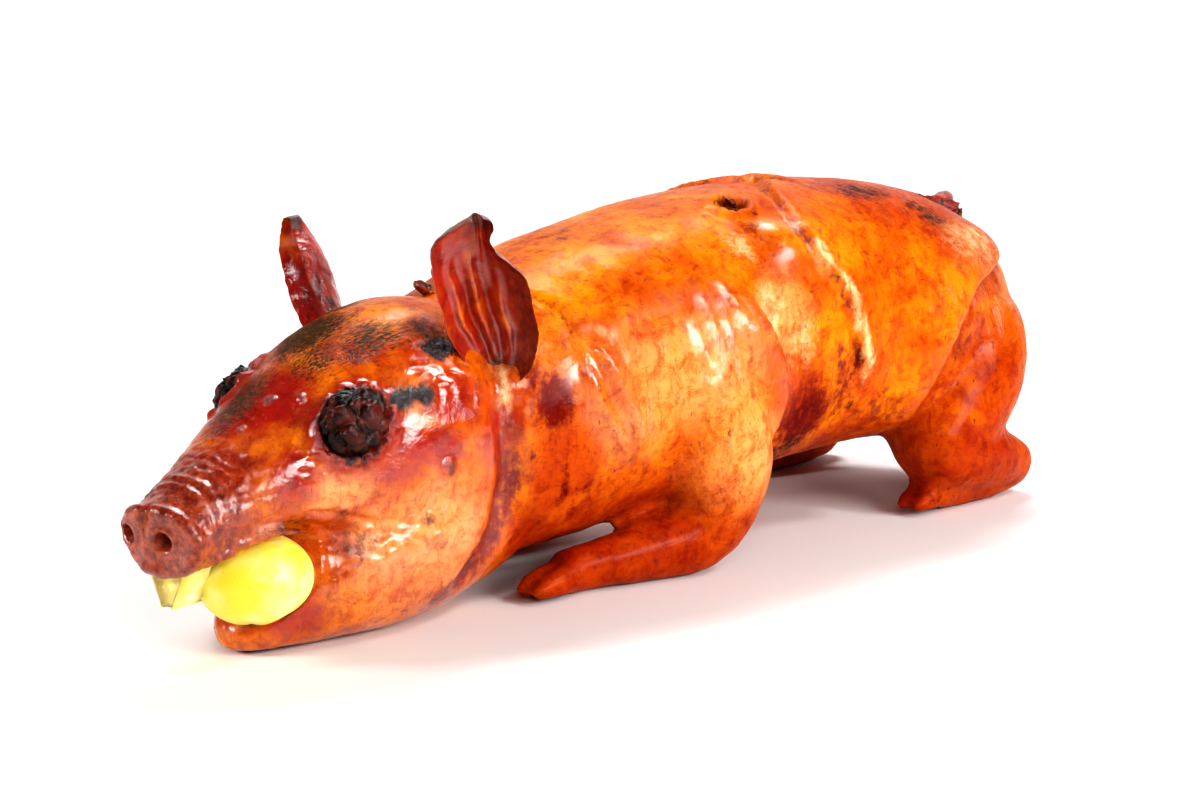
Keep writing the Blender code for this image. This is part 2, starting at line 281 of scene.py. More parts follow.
def refine_head(obj):
    """Four faces for one over the head, where the detail is finest."""
    bm = bmesh.new()
    bm.from_mesh(obj.data)
    edges = [edge for edge in bm.edges if max(vert.co.x for vert in edge.verts) < FINE_FACES_BEFORE]
    bmesh.ops.subdivide_edges(bm, edges=edges, cuts=1, use_grid_fill=True)
    head = [vert for vert in bm.verts if vert.co.x < FINE_POINTS_BEFORE]
    for _ in range(3):
        bmesh.ops.smooth_vert(
            bm, verts=head, factor=0.5, use_axis_x=True, use_axis_y=True, use_axis_z=True
        )
    for face in bm.faces:
        face.smooth = True
    bm.to_mesh(obj.data)
    bm.free()


refine_head(carcass)


# The relief of the skin. Roasting draws the skin tight over some places and lets it fold in
# others: this moves the fused skin's points along their normals for sockets, folds, creases,
# the torn back, the snout's rim and wrinkles, and the pucker round each eye.
EYE_NEAR = (0.1143, -0.0481, 0.1247)
EYE_FAR = (0.1071, 0.0385, 0.1260)
PRUNE_SIZE = (0.0212, 0.0140, 0.0189)
CHUNK_CENTRE = (0.1557, -0.0117, 0.0428)
CHUNK_SIZE = (0.0319, 0.0315, 0.0243)
NOSTRIL_NEAR = -0.0050
NOSTRIL_FAR = 0.0210
SNOUT_GROOVE = 0.0090
HEAD_BASIS = np.array([HEAD_AHEAD, HEAD_ACROSS, UP])


def points_of(mesh):
    flat = np.empty(len(mesh.vertices) * 3)
    mesh.vertices.foreach_get("co", flat)
    return flat.reshape(-1, 3)


def normals_of(mesh):
    flat = np.empty(len(mesh.vertices) * 3)
    mesh.vertices.foreach_get("normal", flat)
    return flat.reshape(-1, 3)


def move_points(mesh, points):
    mesh.vertices.foreach_set("co", points.ravel())
    mesh.update()


def raise_skin(mesh, heights):
    """Moves every point out along its normal, or in where its height is below nothing."""
    move_points(mesh, points_of(mesh) + normals_of(mesh) * heights[:, None])


def in_head(points):
    """Points as ahead of the neck, to the pig's right of its midline, and height."""
    return (points - np.array(HEAD_PIVOT)) @ HEAD_BASIS.T


def ramp(values, low, high):
    t = np.clip((values - low) / (high - low), 0, 1)
    return t * t * (3 - 2 * t)


def bell(gap, width):
    return np.exp(-((gap / width) ** 2))


def grain(points, size, seed):
    """Smooth noise between -1 and 1, whose lumps are about the given size across."""
    offset = Vector((seed * 7.31, seed * 3.17, seed * 5.73))
    scaled = points / np.broadcast_to(np.array(size, float), 3)
    return np.array([noise.noise(Vector(p) + offset) for p in scaled])


carcass_tree = BVHTree.FromObject(carcass, bpy.context.evaluated_depsgraph_get())


def trunk_line(places, side=-1, steps=6):
    """A line over the trunk's skin through places given as X and degrees down from the back."""
    found = []
    for x, degrees in smooth_rows(places, steps):
        turn = math.radians(degrees)
        out = Vector((0.0, side * math.sin(turn), math.cos(turn)))
        start = Vector((x, 0.0, 0.12)) + out * 0.3
        found.append(carcass_tree.ray_cast(start, -out)[0])
    return np.array(found)


def head_line(places, steps=6):
    """A line through places of the head, brought to the nearest point of the skin."""
    found = []
    for place in smooth_rows(places, steps):
        found.append(carcass_tree.find_nearest(head_point(*place))[0])
    return np.array(found)


def beside(points, line):
    """How far each point is from a line, the nearest place on it, and how far along it is."""
    best = np.full(len(points), np.inf)
    nearest = np.zeros_like(points)
    share = np.zeros(len(points))
    for i, (start, end) in enumerate(zip(line, line[1:])):
        run = end - start
        t = np.clip((points - start) @ run / (run @ run + 1e-12), 0, 1)
        spot = start + t[:, None] * run
        gap = np.linalg.norm(points - spot, axis=1)
        closer = gap < best
        best[closer] = gap[closer]
        nearest[closer] = spot[closer]
        share[closer] = (i + t[closer]) / (len(line) - 1)
    return best, nearest, share


def near(points, line, width, fade=0.15):
    """One on the line, fading to nothing over its width, and tapering off at both ends."""
    gap, _, share = beside(points, line)
    return bell(gap, width) * ramp(share, -0.01, fade) * ramp(1 - share, -0.01, fade)


def overlap(points, line, lip, width, toward):
    """A fold of skin: it swells up to a line and drops away on the side it points to."""
    gap, nearest, share = beside(points, line)
    ahead = (points - nearest) @ np.array(toward, float)
    fade = ramp(share, -0.01, 0.2) * ramp(1 - share, -0.01, 0.2)
    swell = np.where(ahead < 0, bell(gap, width), bell(gap, width * 0.15))
    drop = bell(gap, width * 0.5) * ramp(ahead, 0.0, width * 0.25)
    return lip * fade * (swell - 0.6 * drop)


def patch(points, centre, sizes, low=0.55, high=1.15):
    """One inside an ellipsoid of the given half sizes, fading over its rim."""
    away = np.linalg.norm((points - np.array(centre)) / np.array(sizes, float), axis=1)
    return 1 - ramp(away, low, high)


def most(points, spots, low=0.2, high=1.2):
    """The greatest of several patches, each given by its centre, half sizes and share."""
    found = np.zeros(len(points))
    for centre, sizes, share in spots:
        found = np.maximum(found, share * patch(points, centre, sizes, low, high))
    return found


FAR_SIDE_SHIFT = 0.008


def on_both(points, *spots):
    """The greatest of several patches of the near side and their copies on the far side."""
    copies = [((x + FAR_SIDE_SHIFT, -y, z), sizes, share) for (x, y, z), sizes, share in spots]
    return most(points, [*spots, *copies])


def fold_lines(side, shift):
    """The folds of one flank. The far flank has the same ones, a little further back."""

    def line(*places):
        return trunk_line([(x + shift, degrees) for x, degrees in places], side)

    return {
        "neck": line(
            (-0.131, 44), (-0.137, 60), (-0.141, 76), (-0.144, 92), (-0.143, 107),
            (-0.142, 121), (-0.149, 135), (-0.166, 143), (-0.182, 150),
        ),
        "nape": line((-0.112, 16), (-0.101, 34), (-0.090, 50), (-0.090, 67)),
        "lens_rear": line((-0.090, 62), (-0.077, 76), (-0.067, 91), (-0.057, 104), (-0.055, 120)),
        "lens_front": line((-0.094, 66), (-0.087, 84), (-0.081, 96), (-0.067, 109), (-0.055, 120)),
        "shoulder": line(
            (0.030, 58), (0.046, 76), (0.058, 92), (0.058, 106), (0.050, 119), (0.040, 132),
        ),
        "torn_skin": line(
            (0.158, -24), (0.150, 0), (0.130, 14), (0.112, 34), (0.106, 48),
            (0.110, 59), (0.122, 71), (0.131, 87), (0.136, 100), (0.136, 112),
        ),
        "flank": line(
            (0.318, 44), (0.279, 65), (0.238, 75), (0.217, 89), (0.200, 105), (0.194, 121), (0.203, 140),
        ),
        "drip_and_shade": line(
            (-0.147, 100), (-0.143, 107), (-0.141, 121), (-0.148, 135), (-0.166, 143), (-0.186, 150),
        ),
        "flesh": line((0.050, 50), (0.050, 64), (0.062, 74), (0.074, 84), (0.092, 92)),
    }


def pleat_lines(side, shift):
    """Thin creases of tight skin, ahead of the shoulder's edge."""
    found = []
    for x, high, low in (
        (-0.010, 66, 92),
        (0.002, 58, 88),
        (0.013, 62, 98),
        (0.022, 54, 84),
        (0.032, 66, 96),
    ):
        places = ((x, high), (x + 0.004, (high + low) / 2), (x + 0.012, low))
        found.append(trunk_line([(place + shift, turn) for place, turn in places], side))
    return found


FLANKS = {-1: fold_lines(-1, 0.0), 1: fold_lines(1, 0.009)}
PLEATS = {-1: pleat_lines(-1, 0.0), 1: pleat_lines(1, 0.014)}
BACK_HOLE = (0.080, -0.035, 0.207)
BACK_HOLE_SIZE = (0.0120, 0.0090, 0.012)


# Line, height, width, and the share of its length that tapers off.
TRUNK_RIDGES = (
    ("neck", 0.0022, 0.0220, 0.15),
    ("neck", -0.0062, 0.0085, 0.15),
    ("nape", -0.0030, 0.0030, 0.15),
    ("nape", 0.0018, 0.0100, 0.15),
    ("lens_rear", 0.0052, 0.0040, 0.3),
    ("lens_front", 0.0046, 0.0036, 0.3),
    ("lens_rear", 0.0022, 0.0110, 0.3),
)


def sculpt_trunk(mesh):
    points = points_of(mesh)
    behind_head = ramp(points[:, 0], -0.16, -0.12)
    heights = 0.0011 * grain(points, 0.042, 1) * behind_head
    heights += 0.0005 * grain(points, 0.015, 2) * behind_head
    for side in (-1, 1):
        lines = FLANKS[side]
        own = points[:, 1] * side > -0.02
        for name, height, width, fade in TRUNK_RIDGES:
            heights += own * (height * near(points, lines[name], width, fade))
        heights += own * overlap(points, lines["shoulder"], 0.0062, 0.026, (1, 0, 0.1))
        heights += own * overlap(points, lines["torn_skin"], 0.0034, 0.016, (-1, 0, -0.2))
        heights += own * overlap(points, lines["flank"], 0.0110, 0.028, (0.9, 0, -0.5))
        heights -= own * (0.0024 * near(points, lines["flesh"], 0.014))
        for line in PLEATS[side]:
            heights += own * (0.0024 * near(points, line, 0.0027, 0.35))
            heights -= own * (0.0011 * near(points, line, 0.0065, 0.35))
    striped = grain(points, (0.006, 0.030, 0.030), 3)
    rough_flank = patch(points, (0.098, -0.095, 0.125), (0.050, 0.05, 0.06))
    rough_flank = np.maximum(rough_flank, patch(points, (0.255, -0.085, 0.15), (0.06, 0.05, 0.06)))
    heights += 0.0016 * striped * np.maximum(rough_flank, 0.25 * behind_head)
    hole = np.linalg.norm((points - np.array(BACK_HOLE)) / np.array(BACK_HOLE_SIZE), axis=1)
    hole = hole + 0.35 * grain(points, 0.006, 4)
    heights += 0.0028 * bell(hole - 1.35, 0.45) - 0.0085 * (1 - ramp(hole, 0.5, 1.15))
    bump = patch(points, (0.090, -0.072, 0.186), (0.020, 0.024, 0.026), 0.1, 1.1)
    heights += 0.0038 * bump
    raise_skin(mesh, heights)


HEAD_LINES = {
    "eye_tail": head_line((
        (0.094, -0.052, 0.132), (0.078, -0.056, 0.134), (0.060, -0.060, 0.133),
    )),
    "lip_high": head_line((
        (0.166, -0.036, 0.077), (0.150, -0.041, 0.076), (0.132, -0.046, 0.074),
        (0.113, -0.050, 0.070), (0.098, -0.055, 0.064),
    )),
    "lip_low": head_line((
        (0.140, -0.038, 0.066), (0.126, -0.040, 0.060), (0.110, -0.047, 0.055), (0.096, -0.052, 0.047),
    )),
    "lip_down": head_line((
        (0.132, -0.040, 0.060), (0.126, -0.040, 0.046), (0.128, -0.036, 0.032), (0.136, -0.028, 0.020),
    )),
    "cheek": head_line((
        (0.150, -0.036, 0.105), (0.130, -0.046, 0.092), (0.108, -0.054, 0.084), (0.088, -0.060, 0.084),
    )),
}
# Ahead of the neck, to the right of the midline, height, size.
CRUST_SPOTS = (
    (0.120, -0.043, 0.076, 0.0052),
    (0.060, -0.065, 0.093, 0.0058),
    (0.137, -0.008, 0.135, 0.0042),
    (0.128, -0.023, 0.136, 0.0030),
    (0.156, -0.006, 0.122, 0.0028),
    (0.071, -0.061, 0.066, 0.0045),
    (0.066, -0.064, 0.053, 0.0048),
    (0.098, -0.052, 0.100, 0.0030),
    (0.064, 0.064, 0.088, 0.0050),
    (0.118, 0.045, 0.082, 0.0046),
    (0.090, 0.058, 0.061, 0.0040),
)


def eye_ring(head, centre):
    """How far points of the head are from a prune's middle, where its own surface is at one."""
    local = (head - np.array(centre)) / np.array(PRUNE_SIZE)
    return np.linalg.norm(local, axis=1)


def sculpt_head(mesh):
    points = points_of(mesh)
    head = in_head(points)
    is_head = ramp(head[:, 0], 0.0, 0.03)
    heights = 0.0007 * grain(points, 0.022, 5) * is_head
    crinkle = grain(points, 0.0042, 6)
    for centre in (EYE_NEAR, EYE_FAR):
        ring = eye_ring(head, centre)
        puckered = 0.55 + 1.3 * grain(points, 0.0075, 7) + 0.5 * crinkle
        heights += 0.0034 * bell(ring - 1.14, 0.20) * puckered
        heights -= 0.0007 * bell(ring - 1.60, 0.30)
    for name, depth, width in (
        ("lip_high", 0.0016, 0.0026),
        ("lip_low", 0.0011, 0.0030),
        ("lip_down", 0.0007, 0.0030),
        ("cheek", 0.0012, 0.0060),
    ):
        heights -= depth * near(points, HEAD_LINES[name], width)
        heights += 0.6 * depth * near(points, HEAD_LINES[name], width * 2.6)
    heights += 0.0012 * near(points, HEAD_LINES["eye_tail"], 0.0060) * (1 + 0.8 * crinkle)
    for ahead, aside, high, size in CRUST_SPOTS:
        spot = np.linalg.norm(head - np.array((ahead, aside, high)), axis=1) / size
        heights += 0.0011 * (1 - ramp(spot, 0.6, 1.2)) * (0.8 + 0.9 * crinkle)
    snout = ramp(head[:, 0], 0.145, 0.180) * (1 - ramp(head[:, 0], 0.203, 0.208))
    rings = np.sin(head[:, 0] * 2 * np.pi / 0.0056 + 3.5 * grain(points, 0.010, 8))
    faint = np.clip(0.5 + 1.2 * grain(points, 0.014, 12), 0, 1)
    heights += 0.00030 * rings * faint * snout + 0.0007 * crinkle * snout
    collar = bell(head[:, 0] - 0.1985, 0.0016) + 0.7 * bell(head[:, 0] - 0.1925, 0.0018)
    heights += 0.0011 * collar * ramp(head[:, 2], 0.055, 0.07)
    creased = 1 - 2.2 * np.abs(grain(points, (0.011, 0.009, 0.006), 13))
    loose = on_both(
        head,
        ((0.126, -0.044, 0.096), (0.034, 0.03, 0.030), 1.0),
        ((0.110, -0.046, 0.062), (0.036, 0.03, 0.030), 0.9),
        ((0.050, -0.056, 0.142), (0.030, 0.02, 0.020), 0.8),
        ((0.175, -0.020, 0.085), (0.030, 0.03, 0.030), 0.7),
    )
    heights += 0.0009 * creased * (0.10 * is_head + loose)
    for ear_root in (head_point(0.0050, -0.0600, 0.1290), head_point(0.027, 0.045, 0.144)):
        heights += 0.0045 * patch(points, ear_root, (0.022, 0.016, 0.014), 0.0, 1.0)
    scorched = patch(head, (0.050, -0.044, 0.157), (0.022, 0.014, 0.014))
    heights += 0.0010 * scorched * crinkle
    raise_skin(mesh, heights)


def in_disc(points):
    """Points as the disc has them: to the pig's right, up its face, and out of it."""
    back = np.array(DISC_PLACE.inverted())
    return points @ back[:3, :3].T + back[:3, 3]


def sculpt_disc(mesh):
    """The end of the snout: a rolled rim, and two lobes that shrank apart round a groove."""
    points = points_of(mesh)
    out = np.array(DISC_PLACE.to_3x3() @ Vector((0, 0, 1)))
    local = in_disc(points)
    turned = np.maximum(local[:, 0] - SNOUT_GROOVE, 0) * ramp(local[:, 2], -0.016, -0.002)
    points -= np.outer(0.55 * turned, out)
    move_points(mesh, points)
    face = ramp(local[:, 2], -0.0040, -0.0010)
    across = local[:, 0] / DISC_HALF_WIDTH
    up = local[:, 1] / DISC_HALF_HEIGHT
    away = np.sqrt(across**2 + up**2)
    heights = 0.0021 * face * bell(away - 0.93, 0.15)
    heights -= 0.0012 * face * (1 - ramp(away, 0.55, 0.85))
    split = bell((local[:, 0] - SNOUT_GROOVE + 0.25 * local[:, 1]) / 0.0026, 1.0)
    heights -= 0.0030 * face * split * ramp(up, -0.4, 0.8)
    heights += 0.0006 * face * grain(points, 0.006, 9)
    raise_skin(mesh, heights)
    points = points_of(mesh)
    local = in_disc(points)
    for place in (NOSTRIL_NEAR, NOSTRIL_FAR):
        hole = np.hypot((local[:, 0] - place) / 0.0056, (local[:, 1] - 0.0008) / 0.0052)
        front = ramp(local[:, 2], -0.013, -0.009)
        deep = (1 - ramp(hole, 0.50, 1.0)) * front
        rim = bell(hole - 1.25, 0.26) * front
        points += np.outer(0.0012 * rim - 0.0070 * deep, out)
    move_points(mesh, points)


def cut_sockets(mesh):
    """Hollows for the prunes and the apple, and the flat that the pig rests on."""
    points = points_of(mesh)
    head = in_head(points)
    for centre in (EYE_NEAR, EYE_FAR):
        local = (head - np.array(centre)) / (np.array(PRUNE_SIZE) + 0.0008)
        inside = np.linalg.norm(local, axis=1) < 1
        outward = math.copysign(1.0, centre[1])
        depth = np.sqrt(np.clip(1 - local[:, 0] ** 2 - local[:, 2] ** 2, 0, 1))
        sink = (local[:, 1] * outward + depth) * PRUNE_SIZE[1]
        points[inside] -= np.outer(sink[inside] * outward, HEAD_ACROSS)
    size = np.array(CHUNK_SIZE) + 0.0006
    local = (head - np.array(CHUNK_CENTRE)) / size
    length = np.linalg.norm(local, axis=1)[:, None] + 1e-9
    pushed = (local / length * size + np.array(CHUNK_CENTRE)) @ HEAD_BASIS + np.array(HEAD_PIVOT)
    inside = (length[:, 0] < 1) & (head[:, 1] < 0.009)
    points[inside] = pushed[inside]
    points[:, 2] = np.maximum(points[:, 2], 0.0)
    move_points(mesh, points)


sculpt_trunk(carcass.data)
sculpt_head(carcass.data)
sculpt_disc(carcass.data)
cut_sockets(carcass.data)


# The colours of the skin. Fat and sugar brown unevenly: orange over the back, peach low on the
# sides, deep red over the head, scorched black where it stands proud. Some shares also hold
# painted light: a painted shade in the lee of folds and between the ridges of the ears, and a
# painted sheen on the rump, the flank and the muzzle. Each shade is painted as a share on the
# mesh's points, and the material breaks its edge up with noise.
def tint(red, green, blue):
    """A colour given in display values from 0 to 255, as the linear one a socket holds."""
    shares = [value / 255 for value in (red, green, blue)]
    return (*[((v + 0.055) / 1.055) ** 2.4 if v > 0.04 else v / 12.92 for v in shares], 1.0)


def make(tree, kind, inputs=None, **settings):
    """A shader node. Its inputs are given as values, or as sockets to link."""
    made = tree.nodes.new(kind)
    for name, value in settings.items():
        setattr(made, name, value)
    for name, value in (inputs or {}).items():
        if isinstance(value, bpy.types.NodeSocket):
            tree.links.new(value, made.inputs[name])
        else:
            made.inputs[name].default_value = value
    return made


def blend(tree, share, below, above):
    """The first colour, covered by the second in the given share."""
    return make(tree, "ShaderNodeMix", {0: share, 6: below, 7: above}, data_type="RGBA").outputs[2]


def deepened(tree, share, colour, cast):
    """A colour filtered through a cast in the given share."""
    values = {0: share, 6: colour, 7: cast}
    mixed = make(tree, "ShaderNodeMix", values, data_type="RGBA", blend_type="MULTIPLY")
    return mixed.outputs[2]


def sum_of(tree, first, second):
    return make(tree, "ShaderNodeMath", {0: first, 1: second}, operation="ADD").outputs[0]


def times(tree, first, second):
    return make(tree, "ShaderNodeMath", {0: first, 1: second}, operation="MULTIPLY").outputs[0]


def spread(tree, value, low, high, to_low=0.0, to_high=1.0):
    """A value eased from one range into another."""
    return make(
        tree,
        "ShaderNodeMapRange",
        {"Value": value, "From Min": low, "From Max": high, "To Min": to_low, "To Max": to_high},
        interpolation_type="SMOOTHSTEP",
    ).outputs["Result"]


def lumps(tree, places, scale, detail=3.0, roughness=0.55, twist=0.0):
    values = {"Vector": places, "Scale": scale, "Detail": detail}
    values |= {"Roughness": roughness, "Distortion": twist}
    return make(tree, "ShaderNodeTexNoise", values).outputs["Fac"]


def stretched(tree, places, scale):
    return make(tree, "ShaderNodeMapping", {"Vector": places, "Scale": scale}).outputs["Vector"]


def painted(tree, name):
    return make(tree, "ShaderNodeAttribute", attribute_name=name).outputs["Fac"]


def broken(tree, name, noise_value, depth, low, high):
    """A painted share whose edge is broken up by noise."""
    shifted = make(
        tree,
        "ShaderNodeMath",
        {0: noise_value, 1: depth, 2: sum_of(tree, painted(tree, name), -depth / 2)},
        operation="MULTIPLY_ADD",
    ).outputs[0]
    return spread(tree, shifted, low, high)


def bumped(tree, height, strength, distance, under=None):
    """Fine relief, laid over the relief under it when there is one."""
    values = {"Height": height, "Strength": strength, "Distance": distance}
    if under:
        values["Normal"] = under
    return make(tree, "ShaderNodeBump", values).outputs["Normal"]


def object_places(tree):
    return make(tree, "ShaderNodeTexCoord").outputs["Object"]


def new_material(name, **constants):
    """A material, its node tree, and its Principled shader with these constants set."""
    made = bpy.data.materials.new(name)
    made.use_nodes = True
    surface = made.node_tree.nodes["Principled BSDF"]
    for words, value in constants.items():
        surface.inputs[words.replace("_", " ")].default_value = value
    return made, made.node_tree, surface


def feed(tree, surface, **sockets):
    """Links what changes over the surface into the shader's sockets."""
    for words, value in sockets.items():
        tree.links.new(value, surface.inputs[words.replace("_", " ")])


def roast_skin_material():
    skin, tree, surface = new_material(
        "roast_skin",
        Coat_Roughness=0.08,
        Coat_IOR=1.8,
        Specular_IOR_Level=0.04,
        Subsurface_Weight=0.12,
        Subsurface_Radius=(1.0, 0.35, 0.12),
        Subsurface_Scale=0.006,
    )
    places = object_places(tree)
    broad = lumps(tree, places, 16.0, 3.0)
    middle = lumps(tree, places, 55.0, 4.0, 0.6, 0.4)
    fine = lumps(tree, places, 210.0, 5.0, 0.65)
    specks = lumps(tree, places, 620.0, 3.0, 0.6)
    runs = lumps(tree, stretched(tree, places, (1.0, 1.0, 0.14)), 130.0, 6.0, 0.68)
    feathers = times(tree, sum_of(tree, runs, fine), 0.5)
    mixed_grain = times(tree, sum_of(tree, broad, middle), 0.5)
    hairs = lumps(tree, stretched(tree, places, (0.22, 1.0, 1.0)), 700.0, 3.0, 0.65)
    ticks = lumps(tree, stretched(tree, places, (1.0, 1.0, 0.30)), 520.0, 2.0, 0.5)

    colour = blend(tree, spread(tree, broad, 0.35, 0.68), tint(206, 94, 4), tint(240, 144, 16))
    colour = blend(tree, spread(tree, middle, 0.45, 0.75, 0.0, 0.45), colour, tint(190, 62, 3))
    colour = blend(tree, spread(tree, fine, 0.50, 0.75, 0.0, 0.55), colour, tint(192, 66, 6))
    dried = blend(tree, spread(tree, fine, 0.36, 0.64), tint(124, 40, 22), tint(180, 82, 50))
    for name, break_up, depth, low, high, shade in (
        ("pale", mixed_grain, 1.5, 0.05, 1.05, tint(248, 164, 98)),
        ("gold", feathers, 1.6, 0.15, 0.95, tint(246, 146, 8)),
        ("red", middle, 0.8, 0.10, 0.90, tint(168, 28, 2)),
        ("maroon", middle, 0.8, 0.10, 0.95, dried),
        # The drip share also holds a painted shade along the folds and between the ridges of the ears.
        ("drip_and_shade", feathers, 2.6, 0.25, 0.95, tint(138, 22, 2)),
        ("olive", hairs, 2.6, 0.15, 0.95, tint(70, 48, 16)),
        # The fat share also holds a painted sheen on the rump and the flank.
        ("fat_and_sheen", feathers, 3.0, 0.10, 1.15, tint(250, 214, 164)),
        ("brown", feathers, 3.0, 0.20, 1.00, tint(82, 22, 6)),
        ("char", feathers, 3.4, 0.20, 0.85, tint(16, 9, 9)),
    ):
        colour = blend(tree, broken(tree, name, break_up, depth, low, high), colour, shade)
    colour = blend(tree, spread(tree, feathers, 0.53, 0.66, 0.0, 0.35), colour, tint(176, 54, 10))
    freckles = spread(tree, specks, 0.66, 0.74, 0.0, 0.45)
    colour = blend(tree, freckles, colour, tint(140, 36, 6))
    colour = blend(tree, spread(tree, ticks, 0.71, 0.76, 0.0, 0.8), colour, tint(70, 16, 6))
    shaded = broken(tree, "deep", mixed_grain, 1.4, 0.1, 0.95)
    colour = deepened(tree, shaded, colour, (0.66, 0.34, 0.16, 1.0))
    mottle = lumps(tree, places, 95.0, 7.0, 0.74, 0.6)
    streaky = lumps(tree, stretched(tree, places, (1.0, 1.0, 0.22)), 260.0, 5.0, 0.70)
    colour = deepened(tree, spread(tree, mottle, 0.42, 0.68), colour, (0.66, 0.38, 0.20, 1.0))
    colour = deepened(tree, spread(tree, streaky, 0.50, 0.78), colour, (0.70, 0.46, 0.30, 1.0))

    rough = spread(tree, fine, 0.3, 0.7, 0.26, 0.44)
    dull = sum_of(tree, times(tree, painted(tree, "fat_and_sheen"), 0.5), times(tree, painted(tree, "olive"), 0.5))
    rough = sum_of(tree, rough, times(tree, dull, 0.4))
    wet = times(tree, spread(tree, middle, 0.30, 0.62, 0.55, 1.0), painted(tree, "gloss"))
    wet = times(tree, wet, spread(tree, dull, 0.0, 0.5, 1.0, 0.25))

    relief = bumped(tree, middle, 0.30, 0.0022)
    relief = bumped(tree, fine, 0.16, 0.0008, relief)
    relief = bumped(tree, specks, 0.25, 0.0003, relief)
    crinkles = times(tree, lumps(tree, places, 330.0, 4.0, 0.7), painted(tree, "crinkle"))
    relief = bumped(tree, crinkles, 0.9, 0.0030, relief)
    relief = bumped(tree, times(tree, runs, painted(tree, "pleat")), 0.8, 0.0035, relief)
    feed(tree, surface, Base_Color=colour, Roughness=rough, Coat_Weight=wet)
    feed(tree, surface, Normal=relief, Coat_Normal=relief)
    return skin


def paint(mesh, name, shares):
    """Stores a share between 0 and 1 for every point, or the same one for all of them."""
    layer = mesh.attributes.new(name, "FLOAT", "POINT")
    every = np.broadcast_to(np.clip(shares, 0, 1), len(mesh.vertices))
    layer.data.foreach_set("value", every.astype(np.float32))


